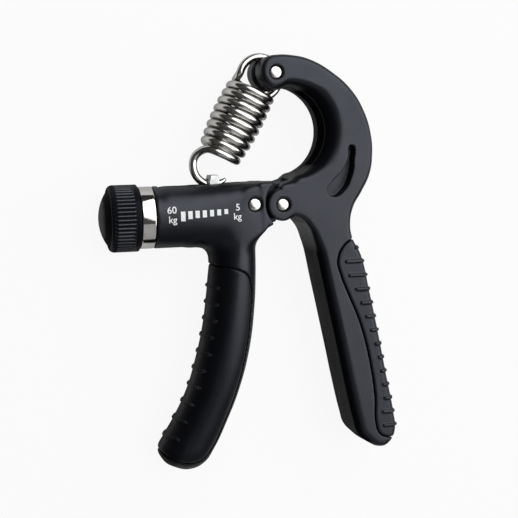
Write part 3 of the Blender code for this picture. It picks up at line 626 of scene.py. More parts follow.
def moulded_look(name, colour, roughness, grain, depth, parting=True, edge_wear_and_sheen=0.25, level=0.5, fade=(0.50, 0.85)):
    """Moulded plastic or rubber: fine grain, cloudy gloss, paler edges that are partly rubbed wear and partly a
    painted highlight, a painted sheen map, reflection cut as painted shade where the surface turns from the
    viewer, and a parting line at mid height.
    """
    look, tree, shader = new_look(name, colour, roughness)
    # The painted_sheen map scales the reflection: painted highlights where it is high, painted shade where it is
    # low
    painted_sheen = tree.nodes.new("ShaderNodeAttribute")
    painted_sheen.attribute_name = "painted_sheen"
    # Painted shade: the reflection falls to EDGE_SHEEN where the surface turns away from the viewer, so grazing
    # walls and rims stay dark
    sheen = spread(tree, from_edge(tree, *fade), EDGE_SHEEN, 1.0)
    sheen = math_node(tree, "MULTIPLY", math_node(tree, "MULTIPLY", sheen, level), painted_sheen.outputs["Fac"])
    feed(tree, sheen, shader["Specular IOR Level"])
    shader["Specular Tint"].default_value = (0.82, 0.87, 1.0, 1.0)
    marks = node(tree, "ShaderNodeGroup", groups["grain"], Scale=grain, Cloud_Scale=70.0).outputs
    used = node(tree, "ShaderNodeGroup", groups["handling"], Scratch_Scale=240.0, Smudge_Scale=55.0).outputs
    edges = tree.nodes.new("ShaderNodeNewGeometry").outputs["Pointiness"]
    # Paler convex edges in smudged patches: partly rubbed wear, partly a painted highlight along the edges; the
    # dial's ribs get the most
    mask = math_node(tree, "MULTIPLY", spread(tree, edges, 0.0, 1.0, 0.52, 0.60), used["Smudge"])
    pale = [min(1.0, c * 2.2 + 0.004) for c in colour]
    feed(tree, colour_mix(tree, math_node(tree, "MULTIPLY", mask, edge_wear_and_sheen), colour, pale), shader["Base Color"])
    cloud = spread(tree, marks["Cloud"], roughness - 0.05, roughness + 0.05, 0.3, 0.7)
    smear = math_node(tree, "MULTIPLY", used["Smudge"], -0.05)
    feed(tree, math_node(tree, "ADD", cloud, smear), shader["Roughness"])
    height = marks["Height"]
    if parting:
        depth_in = math_node(tree, "SUBTRACT", split(tree, object_place(tree))[2], PIVOT[2] * MM)
        line = spread(tree, math_node(tree, "ABSOLUTE", depth_in), 3.0, 0.0, 0.00005, 0.00022)
        height = math_node(tree, "ADD", height, line)
    bump(tree, shader, height, depth)
    return look


def metal_look(name, colour, roughness, round_marks, along_marks, depth, dark):
    """Plated or turned metal: tool marks that follow the surface, smudged gloss, a darker tint in smudges and
    painted shade where the surface turns away from the viewer.
    """
    look, tree, shader = new_look(name, colour, roughness, 1.0)
    tool = node(tree, "ShaderNodeGroup", groups["tool"], Round=round_marks, Along=along_marks).outputs
    used = node(tree, "ShaderNodeGroup", groups["handling"], Scratch_Scale=300.0, Smudge_Scale=140.0).outputs
    # Painted shade: the colour darkens where the surface turns away from the viewer; smudges darken it too
    away = math_node(tree, "SUBTRACT", 1.0, from_edge(tree, 0.15, 0.85))
    smudge_and_turned_away_shade = math_node(tree, "MAXIMUM", math_node(tree, "MULTIPLY", used["Smudge"], 0.7), away)
    feed(tree, colour_mix(tree, smudge_and_turned_away_shade, colour, [c * dark for c in colour]), shader["Base Color"])
    dull = spread(tree, used["Smudge"], roughness, roughness + 0.10)
    lines = math_node(tree, "MULTIPLY", used["Scratch"], 0.09)
    feed(tree, math_node(tree, "ADD", dull, lines), shader["Roughness"])
    bump(tree, shader, tool["Height"], depth)
    return look


def ink_look(colour):
    """Pad-printed ink: slightly uneven and thin in places."""
    look, tree, shader = new_look("white_ink", colour, 0.5)
    marks = node(tree, "ShaderNodeGroup", groups["grain"], Scale=2500.0, Cloud_Scale=600.0).outputs
    mask = math_node(tree, "MULTIPLY", spread(tree, marks["Cloud"], 0.0, 1.0, 0.55, 0.8), 0.6)
    feed(tree, colour_mix(tree, mask, colour, [c * 0.7 for c in colour]), shader["Base Color"])
    bump(tree, shader, marks["Height"], 0.00002)
    return look


EDGE_SHEEN = 0.03
groups = {}
looks = {}


def make_looks():
    """Every material of the object."""
    tones = bpy.context.scene.gripper_colours
    groups.update(grain=grain_group(), handling=handling_group(), tool=tool_group())
    looks.update(
        body=moulded_look("moulded_body", tones.plastic, 0.36, 2600.0, 0.00003),
        rubber=moulded_look("grip_rubber", tones.rubber, 0.40, 3200.0, 0.00006, edge_wear_and_sheen=0.15, fade=(0.60, 1.0)),
        dial=moulded_look("dial_plastic", tones.dial, 0.38, 2600.0, 0.00003, parting=False, edge_wear_and_sheen=0.8),
        cap=moulded_look("cap_plastic", tones.cap, 0.25, 2000.0, 0.00001, False, 0.3, 0.25, (0.3, 0.8)),
        steel=metal_look("polished_steel", tones.steel, 0.13, 3.0, 260.0, 0.00001, 0.25),
        chrome=metal_look("bright_ring", tones.nickel, 0.05, 2.0, 200.0, 0.000004, 0.5),
        spring=metal_look("spring_wire", tones.nickel, 0.16, 26.0, 1.2, 0.00003, 0.25),
        zinc=metal_look("zinc_plate", tones.zinc, 0.27, 3.0, 120.0, 0.00001, 0.3),
        ink=ink_look(tones.ink),
    )


# Shapes of the moulded bodies


def arc_points(centre, radius, start, end, count):
    """Points on an arc, its angles in degrees."""
    turn = np.radians(np.linspace(start, end, count))
    return np.stack([centre[0] + radius * np.cos(turn), centre[1] + radius * np.sin(turn)], 1).tolist()


def right_outline():
    """The right body's outline: arm, handle and the round tip about the spring pin."""
    return smooth_outline(RIGHT_OUTER + RIGHT_INNER + arc_points(ARM, ARM_IN_R, -76, 72, 13) + TIP)


def ramp(value, start, width):
    """0 up to a start, rising evenly to 1 over a width."""
    return np.clip((value - start) / width, 0, 1)


def inner_sides(x, y):
    """How far a place belongs to the inside of the arm, and to the inside of the handle, from 0 to 1."""
    from_arm = np.hypot(x - ARM[0], y - ARM[1]) - ARM_IN_R
    arm = np.clip(2.2 - np.abs(from_arm) / 5, 0, 1) * ramp(y, 6, 8)
    arm = arm * ramp(48, y, 7) * ramp(x, -3, 6)
    from_handle = x - (9.0 - (y + 9) * 0.232)
    handle = np.clip(1.8 - np.abs(from_handle) / 5, 0, 1) * ramp(-8, y, 10)
    return arm, handle


def arm_painted_sheen(x, y, z):
    """Painted sheen of the right body: on the inner sides of the arm and the handle the reflection is cut away as
    painted shade, leaving a faint painted highlight line where the arm's front rim ends and a faint sheen on the
    arm's wall behind the parting line and on the handle's wall past its front rim.
    """
    arm, handle = inner_sides(x, y)
    fallen = ramp(HALF_T - z, 0.15, 0.9)
    behind = ramp(-2.5, z, 1.0)
    past_rim = ramp(HALF_T - 3.2, z, 0.6)
    line = np.exp(-((z - HALF_T + ARM_IN_EDGE) / 0.35) ** 2)
    in_arm = (1 - fallen) + fallen * np.maximum(0.05 * line, 0.08 * behind)
    in_handle = (1 - fallen) + fallen * 0.07 * past_rim
    return np.minimum(1 - arm * (1 - in_arm), 1 - handle * (1 - in_handle))


def flank_painted_sheen(x, y, z):
    """Painted sheen of the left body: full on the barrel; over the handle's outer flank and under the barrel the
    reflection is cut away as painted shade.
    """
    flank_y, flank_x = zip(*LEFT_FLANK)
    across = (x - np.interp(y, flank_y, flank_x)) / FLANK_WIDTH
    dull = ramp(0.75, across, 0.5) * ramp(-11, y, 6)
    under = 0.7 * ramp(-5.5, y, 4) * ramp(-14, x, 10)
    dull = np.maximum(dull * dull * (3 - 2 * dull), under)
    return 1 - 0.92 * dull


def left_grip_painted_sheen(x, y, z):
    """Painted sheen of the left grip: that of the flank, with faint painted highlights along its ribs and bright
    ones at their inner ends.
    """
    rib = rib_swell(x, y, *LEFT_RIBS, 1.0)
    ends, top, bottom, _ = LEFT_RIBS
    tip = np.exp(-((x - np.interp(-y, -np.linspace(top, bottom, len(ends)), ends)) / 0.5) ** 2)
    return np.maximum(flank_painted_sheen(x, y, z), rib * (0.10 + 0.9 * tip))


def dial_painted_sheen(x, y, z):
    """Painted sheen of the dial: low everywhere, with painted highlights along the ribs' tops."""
    radius = np.hypot(y - AXIS_Y, z)
    top = np.clip((radius - KNOB_R + 0.30) / 0.25, 0, 1)
    ribbed = ramp(x - KNOB_LEFT, 2.0, 0.5) * ramp(KNOB_RIGHT - KNOB_COLLAR, x, 0.5)
    return 0.12 + 1.9 * top * ribbed


def cap_painted_sheen(x, y, z):
    """Painted sheen of the cap: full in the middle of the dome, cut away towards its seat as a painted dark band.
    """
    radius = np.hypot(y - AXIS_Y, z) / KNOB_R
    return 1 - 0.95 * ramp(radius, 0.42, 0.2)


def right_rim(x, y, z):
    """Rim radius of the right body: wide in front along the inside of the arm and of the handle."""
    inside_arm, inside_handle = inner_sides(x, y)
    inside_handle = 0.4 * inside_handle
    from_pivot = np.hypot(x, y)
    near_knuckle = np.clip(2.2 - from_pivot / 5, 0, 1) * ramp(4, x, 4)
    rim = RIGHT_EDGE + (ARM_IN_EDGE - RIGHT_EDGE) * np.maximum(inside_arm, inside_handle)
    rim = np.where(z > 0, rim, RIGHT_EDGE + (rim - RIGHT_EDGE) * REAR_SHARE)
    return rim + (KNUCKLE_EDGE - RIGHT_EDGE) * near_knuckle


def right_frame_field(x, y, z):
    """Right body: the outline as a rounded slab, with its grip seat, slots, holes and teardrop hollows."""
    flat = outline_distance(right_outline(), x, y)
    grip = traced(RIGHT_GRIP_EDGE, x, y)
    cheek = outline_distance(arc_points((0, 0), KNUCKLE_R, 290, 100, 31) + KNUCKLE_ROOT[::-1], x, y)
    taper = DRAFT * np.abs(z) * np.maximum(*inner_sides(x, y))
    body = slab(soft_union(flat, cheek, 0.8) + taper, z, HALF_T, right_rim(x, y, z))
    body = soft_cut(body, grip, 0.4)
    body = soft_union(body, slab(flat + SKIN, z, HALF_T - SKIN, 0.8), 0.3)
    clear = TONGUE_HALF + GAP
    return carve(
        body,
        (box_field(x, y, z, (-16, 0, -clear), (TONGUE_END + GAP, 12, clear)), 0.3),
        (np.maximum(rod_field(x, y, (0, 0), TONGUE_R + GAP), np.abs(z) - clear), 0.3),
        (box_field(x, y, z, (-16, -8, -clear), (TONGUE_SWEEP, 1, clear)), 0.3),
        (box_field(x, y, z, (-16, 36, -FORK_HALF), (FORK_END, 60, FORK_HALF)), 0.5),
        (np.maximum(traced(TEARDROP, x, y), HALF_T - TEARDROP_DEPTH - np.abs(z)), 0.35),
        (rod_field(x, y, (0, 0), PIN_R + GAP), 0.7),
        (rod_field(x, y, SPRING_PIN, PIN_R + GAP), 0.7),
    )


def left_section(x):
    """Top, bottom and squareness of the barrel at each x, smoothed between its stations."""
    stations = np.array(BARREL_STATIONS)
    wide = np.linspace(-1.5, 1.5, 13)
    spots = x[..., None] + wide
    weight = np.exp(-wide ** 2)
    weight /= weight.sum()
    return [(np.interp(spots, stations[:, 0], stations[:, k]) * weight).sum(-1) for k in (1, 2, 3)]


def barrel_field(x, y, z):
    """Barrel: a superellipse with the section of its stations, |y|^n + |z|^n = 1, cut square at its ends."""
    top, bottom, square = left_section(x)
    middle, half = (top + bottom) / 2, (top - bottom) / 2
    reach = np.abs((y - middle) / half) ** square + np.abs(z / HALF_T) ** square
    body = (np.maximum(reach, 1e-6) ** (1 / square) - 1) * np.minimum(half, HALF_T)
    return carve(body, (x - BARREL_END, 0.5), (BARREL_STATIONS[-1][0] - x, 0.5))


def left_frame_field(x, y, z):
    """Left body: barrel and handle run together, with the socket, tongue, bore, slot and holes."""
    flat = traced(LEFT_HANDLE, x, y)
    grip = traced(LEFT_GRIP_EDGE, x, y)
    head = outline_distance(HEAD_OUTLINE, x, y)
    root = traced(ROOT_FILLET, x, y, 4)
    handle = slab(flat, z, HALF_T, LEFT_EDGE)
    barrel = soft_union(barrel_field(x, y, z), slab(head, z, HALF_T, 1.4), 0.6)
    body = soft_union(handle, barrel, 5.0)
    body = soft_union(body, slab(root, z, HALF_T * 0.8, 6.5), 3.0)
    body = carve(body, (HALF_T + 0.1 - np.abs(z), 0.8), (grip + 0.1, 0.4))
    body = soft_union(body, slab(flat + SKIN, z, HALF_T - SKIN, LEFT_EDGE - SKIN), 0.3)
    body = soft_cut(body, np.maximum(rod_field(x, y, SOCKET, SOCKET_R), TONGUE_HALF - np.abs(z)), 0.7)
    tongue = box_field(x, y, z, (-9, -3.4, -TONGUE_HALF), (TONGUE_END, TONGUE_TOP, TONGUE_HALF))
    nose = np.maximum(rod_field(x, y, (0, 0), TONGUE_R), np.abs(z) - TONGUE_HALF)
    body = soft_union(body, soft_union(tongue, nose, 0.3), 0.3)
    along = np.hypot(y - AXIS_Y, z)
    return carve(
        body,
        (np.maximum(along - BORE_R, x - BORE_END), 0.3),
        (np.maximum(along - SCREW_R - GAP, x - SCREW_RIGHT - GAP), 0.3),
        (box_field(x, y, z, (SLOT_FROM, SLOT_FLOOR, -SLOT_HALF), (SLOT_TO, 14, SLOT_HALF)), 0.6),
        (rod_field(x, y, (0, 0), PIN_R + GAP), 0.7),
        (rod_field(x, y, CROSS_PIN, PIN_R + GAP), 0.7),
    )


def rib_swell(x, y, ends, top, bottom, side, rise):
    """Height of the ribs: a half-round bar from each inner end outwards, rise * sqrt(1 - (d / w)^2)."""
    ends = np.array(ends)
    pitch = (bottom - top) / (len(ends) - 1)
    index = np.clip(np.rint((y - top) / pitch), 0, len(ends) - 1).astype(int)
    past = np.maximum((ends[index] - x) * side, 0)
    away = np.hypot(past, y - (top + pitch * index)) / (RIB_HEIGHT / 2)
    return rise * np.clip(1 - away ** 6, 0, 1) ** 0.5


def grip_field(x, y, z, outline, edge, seat, region, ribs):
    """Rubber grip: the handle's skin inside the grip's outline, raised by its ribs."""
    flat = outline_distance(outline, x, y)
    skin = slab(flat, z, HALF_T, edge)
    skin = skin - rib_swell(x, y, *ribs, sizes().rib_rise / MM)
    window = traced(region, x, y) + GAP
    skin = -soft_union(-skin, -window, 0.9)
    return soft_cut(skin, slab(flat + SKIN - GAP, z, HALF_T - SKIN + GAP, seat), 0.3)


def block(name, margin=1.6):
    """The space round a node, with room for its surface."""
    low, high = node_box(name)
    return low - margin, high + margin


def add_field_piece(name, field, step, look, body, node, shine=None):
    """Builds a piece from its field round its node; gives back the field and its lowest corner."""
    low, high = block(node)
    values = field(*make_grid(low, high, step))
    points, faces = field_surface(values, low, step)
    add_piece(name, points, faces, look, body, node, shine=shine)
    return values, low


shape_maps = {}


class GRIPPER_OT_bodies(bpy.types.Operator):
    """Makes the moulded arm with its handle and the moulded barrel with its handle"""

    bl_idname = "gripper.bodies"
    bl_label = "Moulded bodies"

    def execute(self, context):
        step = sizes().body_step / MM
        add_field_piece(
            "arm_and_handle", right_frame_field, step, looks["body"], "right_body", "right_frame",
            arm_painted_sheen)
        values, low = add_field_piece(
            "barrel_and_handle", left_frame_field, step, looks["body"], "left_body", "left_frame",
            flank_painted_sheen)
        solid = values < 0
        top = solid.shape[2] - 1 - np.argmax(solid[:, :, ::-1], axis=2)
        top = np.minimum(top, solid.shape[2] - 2)
        i, j = np.indices(top.shape)
        inner, outer = values[i, j, top], values[i, j, top + 1]
        shape_maps.update(front=low[2] + step * (top + inner / (inner - outer)), low=low, step=step)
        return {"FINISHED"}


def front_height(x, y):
    """Height of the left body's front surface at each point, read between the four nearest grid columns."""
    heights = shape_maps["front"]
    u = (x - shape_maps["low"][0]) / shape_maps["step"]
    v = (y - shape_maps["low"][1]) / shape_maps["step"]
    i, j = np.floor(u).astype(int), np.floor(v).astype(int)
    s, t = u - i, v - j
    near = heights[i, j] * (1 - t) + heights[i, j + 1] * t
    far = heights[i + 1, j] * (1 - t) + heights[i + 1, j + 1] * t
    return near * (1 - s) + far * s


class GRIPPER_OT_grips(bpy.types.Operator):
    """Makes the ribbed rubber grips"""

    bl_idname = "gripper.grips"
    bl_label = "Rubber grips"

    def execute(self, context):
        step = sizes().grip_step / MM
        left_outline, left_seat = smooth_outline(LEFT_HANDLE), LEFT_EDGE - SKIN
        for side, shine, *shape in (
            ("right", None, right_outline(), RIGHT_EDGE, 0.8, RIGHT_GRIP_EDGE, RIGHT_RIBS),
            ("left", left_grip_painted_sheen, left_outline, LEFT_EDGE, left_seat, LEFT_GRIP_EDGE, LEFT_RIBS),
        ):
            add_field_piece(
                f"{side}_grip", lambda x, y, z: grip_field(x, y, z, *shape), step, looks["rubber"],
                f"{side}_body", f"{side}_grip_rubber", shine)
        return {"FINISHED"}


class GRIPPER_OT_pins(bpy.types.Operator):
    """Makes the three polished pins"""

    bl_idname = "gripper.pins"
    bl_label = "Pins"

    def execute(self, context):
        crown = 0.35
        rim = PIN_HALF - crown
        s = np.linspace(0, 1, 14)
        dome = np.stack([PIN_HALF - crown * (1 - np.sqrt(1 - s ** 2)), PIN_R * s], 1)
        dome = np.vstack([dome, [[rim - 0.25, PIN_R]]])
        profile = np.vstack([dome * (-1, 1), dome[::-1]])
        for name, node, centre, body in (
            ("pivot_pin_steel", "pivot_pin", (0.0, 0.0), "right_body"),
            ("spring_pin_steel", "spring_pin", SPRING_PIN, "right_body"),
            ("cross_pin_steel", "cross_pin", CROSS_PIN, "left_body"),
        ):
            points, faces, uv = lathe(profile, sizes().turned_sides, "z", centre)
            add_piece(name, points, faces, looks["steel"], body, node, uv)
        return {"FINISHED"}


class GRIPPER_OT_barrel_end(bpy.types.Operator):
    """Makes the bright end cap on the barrel and the thrust washer behind the knob"""

    bl_idname = "gripper.barrel_end"
    bl_label = "End cap and washer"

    def execute(self, context):
        left, right = CAP_LEFT, BARREL_END - GAP
        hole, spigot, out = SCREW_R + GAP, BORE_R - GAP, HALF_T
        corners = [
            (left, hole), (left, out), (right, out), (right, spigot), (CAP_RIGHT, spigot), (CAP_RIGHT, hole),
        ]
        points, faces, uv = lathe(soften_ring(corners, 0.45, 7), sizes().turned_sides * 2, closed=True)
        add_piece("end_cap_bright", points, faces, looks["chrome"], "left_body", "end_cap", uv)
        corners = [(WASHER_LEFT, hole), (WASHER_LEFT, WASHER_R), (WASHER_RIGHT, WASHER_R), (WASHER_RIGHT, hole)]
        points, faces, uv = lathe(soften_ring(corners, 0.15, 4), sizes().turned_sides, closed=True)
        add_piece("washer_steel", points, faces, looks["steel"], "knob", "thrust_washer", uv)
        return {"FINISHED"}


class GRIPPER_OT_knob(bpy.types.Operator):
    """Makes the ribbed dial and its domed cap"""

    bl_idname = "gripper.knob"
    bl_label = "Knob"

    def execute(self, context):
        recess_r, recess = WASHER_R + GAP, WASHER_LEFT - GAP
        web, bore = recess - KNOB_WEB, SCREW_R + GAP
        seat_r, seat = KNOB_R - KNOB_WALL + GAP, KNOB_LEFT + DOME_LIP + GAP
        crown, rim = KNOB_R - KNOB_CROWN, KNOB_RIGHT - KNOB_RIM
        turn = np.linspace(0, np.pi / 2, 14)
        bend = np.stack([KNOB_LEFT + KNOB_SHOULDER * (1 - np.cos(turn)), crown + KNOB_CROWN * np.sin(turn)], 1)
        run = np.linspace(KNOB_LEFT + KNOB_SHOULDER, rim, 46)[1:]
        side = np.stack([run, np.full(len(run), KNOB_R)], 1)
        inner = soften([
            (rim, KNOB_R), (KNOB_RIGHT, KNOB_R - KNOB_RIM), (KNOB_RIGHT, recess_r), (recess, recess_r),
            (recess, bore), (web - HUB_LENGTH, bore), (web - HUB_LENGTH, HUB_R), (web, HUB_R),
            (web, seat_r - 1.6), (seat, seat_r - 1.6), (seat, seat_r), (KNOB_LEFT, seat_r), (KNOB_LEFT, crown),
        ], 0.2, 4)[1:-1]
        profile = np.vstack([bend, side, inner])
        x, radius = profile.T[..., None]
        sides = RIBS * RIB_SIDES
        in_rib = np.abs(2 * ((np.arange(sides) / RIB_SIDES) % 1) - 1)
        groove = sizes().dial_groove / MM * ramp(in_rib, 0.22, 0.78) ** 0.8
        floor = KNOB_R - groove * ramp(KNOB_RIGHT - KNOB_COLLAR, x, 0.9)
        relief = np.where(radius > crown, np.minimum(radius, floor), radius)
        points, faces, uv = lathe(profile, sides, closed=True, relief=relief)
        add_piece("dial_ribbed", points, faces, looks["dial"], "knob", "knob_dial", uv, dial_painted_sheen)

        dome_r, base, rise = seat_r - GAP, KNOB_LEFT + DOME_LIP, KNOB_LEFT - DOME_LEFT
        ball = (dome_r ** 2 + rise ** 2) / (2 * rise)
        turn = np.linspace(0, math.asin(dome_r / ball), 40)
        dome = np.stack([DOME_LEFT + ball * (1 - np.cos(turn)), ball * np.sin(turn)], 1)
        profile = np.vstack([dome, soften([(KNOB_LEFT, dome_r), (base, dome_r), (base, 0)], 0.2, 4)[1:]])
        points, faces, uv = lathe(profile, sizes().turned_sides * 2)
        gate = np.hypot(points[:, 1] - AXIS_Y + 6.3, points[:, 2] - 5.6)
        points[:, 0] += np.where(points[:, 0] < KNOB_LEFT, 0.25 * np.exp(-(gate / 0.35) ** 2), 0)
        add_piece("cap_domed", points, faces, looks["cap"], "knob", "knob_cap", uv, cap_painted_sheen)
        return {"FINISHED"}


class GRIPPER_OT_screws(bpy.types.Operator):
    """Makes the threaded lead screw and the screw that holds the dial on it"""

    bl_idname = "gripper.screws"
    bl_label = "Lead screw and knob screw"

    def execute(self, context):
        pitch = sizes().thread_pitch / MM
        sides, hole_r, hole_end = 32, 1.8, SCREW_LEFT + 9.3
        x = np.arange(SCREW_LEFT, SCREW_RIGHT, pitch / 8)
        x[-1] = SCREW_RIGHT
        turn = np.linspace(0, 2 * np.pi, sides, endpoint=False)
        phase = (x[:, None] / pitch - turn / (2 * np.pi)) % 1
        plain, lead_in = ramp(x - CAP_RIGHT, 1, 1.5), ramp(SCREW_RIGHT, x, 0.5)
        radius = SCREW_R - THREAD_DEPTH * np.abs(2 * phase - 1) * plain[:, None]
        radius = np.where((np.abs(x - CROSS_PIN[0]) < PIN_R + GAP)[:, None], 1.2, radius)
        radius = np.minimum(radius, SCREW_R - 0.5 * (1 - lead_in[:, None]))
        start, end = np.array([hole_end, hole_end, SCREW_LEFT]), [0, hole_r, hole_r]
        xs = np.repeat(np.concatenate([start, x, [SCREW_RIGHT]])[:, None], sides, 1)
        rs = np.vstack([np.repeat(np.array(end, float)[:, None], sides, 1), radius, np.zeros((1, sides))])
        points = np.stack([xs, AXIS_Y + rs * np.cos(turn), rs * np.sin(turn)], -1).reshape(-1, 3)
        uv = np.stack(np.broadcast_arrays(turn[None, :] / (2 * np.pi), xs / 10), -1).reshape(-1, 2)
        add_piece(
            "lead_screw_threaded", points, grid_faces(len(xs), sides), looks["steel"], "knob", "lead_screw",
            uv)

        high = node_box("knob_screw")[1]
        head_r, shank_r, under = high[2], 1.5, SCREW_LEFT - GAP
        left = under - 1.6
        profile = [
            (left + 0.7, 0), (left + 0.7, 1.1), (left, 1.5), (left, head_r - 0.7), (left + 0.5, head_r),
            (under, head_r), (under, shank_r), (high[0], shank_r), (high[0], 0),
        ]
        points, faces, uv = lathe(soften(profile, 0.2, 4), 48)
        add_piece("knob_screw_steel", points, faces, looks["steel"], "knob", "knob_screw", uv)
        return {"FINISHED"}


def nut_field(x, y, z):
    """Nut: a round body on the screw with a lug through the slot, its eye and the screw's bore."""
    along = np.hypot(y - AXIS_Y, z)
    barrel = slab(along - (BORE_R - GAP), x - NUT_X, NUT_HALF, 0.5)
    width = np.interp(y, (NUT_TOP - 2.2, NUT_TOP), (LUG_BASE, LUG_TIP))
    lug = np.maximum(np.abs(x - NUT_X) - width, np.maximum(y - NUT_TOP, AXIS_Y + SCREW_R + 1.5 - y))
    lug = slab(lug, z, LUG_HALF, 0.4)
    body = soft_union(barrel, lug, 0.6)
    eye_y = NUT_TOP - HOOK_DEPTH + 0.1
    return carve(body, (np.hypot(y - eye_y, z) - EYE_R, 0.4), (along - SCREW_R - GAP, 0.4))


class GRIPPER_OT_nut(bpy.types.Operator):
    """Makes the travelling nut with its lug"""

    bl_idname = "gripper.nut"
    bl_label = "Travelling nut"

    def execute(self, context):
        low, high = block("travelling_nut", 0.8)
        step = 0.17
        points, faces = field_surface(nut_field(*make_grid(low, high, step)), low, step)
        uv = points[:, :2] / 20
        add_piece("nut_plated", points, faces, looks["zinc"], "nut", "travelling_nut", uv)
        return {"FINISHED"}


# Spring


def coil_point(turn):
    """Coil centre line: a helix whose radius swells in the middle; whole turns cross the front."""
    foot, head = np.array((*COIL_FOOT, 0.0)), np.array((*COIL_HEAD, 0.0))
    length = np.linalg.norm(head - foot)
    along = (head - foot) / length
    across = np.array((along[1], -along[0], 0.0))
    turn = np.atleast_1d(np.asarray(turn, float))[:, None]
    share = np.clip(turn / COIL_GAPS, 0, 1)
    radius = COIL_FOOT_R + (COIL_HEAD_R - COIL_FOOT_R) * share + COIL_BULGE * 4 * share * (1 - share)
    angle = 2 * np.pi * turn - np.pi / 2
    offset = across * np.cos(angle) - np.array((0.0, 0.0, 1.0)) * np.sin(angle)
    return foot + along * (length * turn / COIL_GAPS) + offset * radius


def ring_point(centre, radius, degrees):
    """Points on a hook's circle in the middle plane."""
    angle = np.radians(np.atleast_1d(degrees))
    return np.stack([centre[0] + radius * np.cos(angle), centre[1] + radius * np.sin(angle), 0 * angle], 1)


def bend_between(p0, t0, p1, t1, count):
    """A cubic bend between two points with given end slopes."""
    s = np.linspace(0, 1, count + 1)[1:-1, None]
    weights = (2 * s ** 3 - 3 * s ** 2 + 1, s ** 3 - 2 * s ** 2 + s, 3 * s ** 2 - 2 * s ** 3, s ** 3 - s ** 2)
    return weights[0] * p0 + weights[1] * t0 + weights[2] * p1 + weights[3] * t1


def slope_at(curve, at, tiny):
    """Direction of a curve at a place, from two points close to it."""
    return unit((curve(at + tiny) - curve(at - tiny))[0])


def spring_route():
    """The wire's centre line from the lower hook through the coil to the upper hook, and its share of stretch."""
    tilt = math.radians(UPPER_HOOK_TILT)
    reach = UPPER_HOOK_R - sizes().wire / MM / 2 - PIN_R - HOOK_CLEARANCE
    upper_centre = SPRING_PIN - reach * np.array((math.cos(tilt), math.sin(tilt)))
    start, last, leave, rise = -0.12, COIL_GAPS + 0.62, -195.0, 160.0

    def lower_hook(degrees):
        return ring_point((NUT_X, NUT_TOP - HOOK_DEPTH + LOWER_HOOK_R), LOWER_HOOK_R, degrees)

    def upper_hook(degrees):
        return ring_point(upper_centre, UPPER_HOOK_R, degrees)

    def joined(one, at_one, other, at_other, count):
        """A bend from one curve to the next; each comes with its small step of travel."""
        (curve_a, step_a), (curve_b, step_b) = one, other
        a, b = curve_a(at_one)[0], curve_b(at_other)[0]
        chord = np.linalg.norm(b - a)
        leaving, arriving = slope_at(curve_a, at_one, step_a), slope_at(curve_b, at_other, step_b)
        return bend_between(a, leaving * chord, b, arriving * chord, count)

    lower = lower_hook(np.linspace(LOWER_HOOK_START, leave, 80))
    coil = coil_point(np.linspace(start, last, 640))
    upper = upper_hook(np.linspace(rise, UPPER_HOOK_END, 110))
    way_up = joined((lower_hook, -0.01), leave, (coil_point, 0.01), start, 26)
    way_on = joined((coil_point, 0.01), last, (upper_hook, -0.01), rise, 34)
    stretch = [
        np.ones(len(lower) + len(way_up)), np.linspace(1, 0, len(coil)), np.zeros(len(way_on) + len(upper))]
    return np.vstack([lower, way_up, coil, way_on, upper]), np.concatenate(stretch)


def carried_frames(route):
    """Directions across a path that turn with it: each is the one before, reflected twice."""
    slope = np.gradient(route, axis=0)
    slope /= np.linalg.norm(slope, axis=1, keepdims=True)
    across = np.empty_like(slope)
    across[0] = unit(np.cross(slope[0], (0, 0, 1)))
    for k in range(len(route) - 1):
        step = route[k + 1] - route[k]
        size = step @ step
        mid = across[k] - step * (2 * (step @ across[k]) / size)
        mid_slope = slope[k] - step * (2 * (step @ slope[k]) / size)
        turn = slope[k + 1] - mid_slope
        across[k + 1] = mid - turn * (2 * (turn @ mid) / (turn @ turn)) if turn @ turn > 1e-12 else mid
    return across, np.cross(slope, across), slope


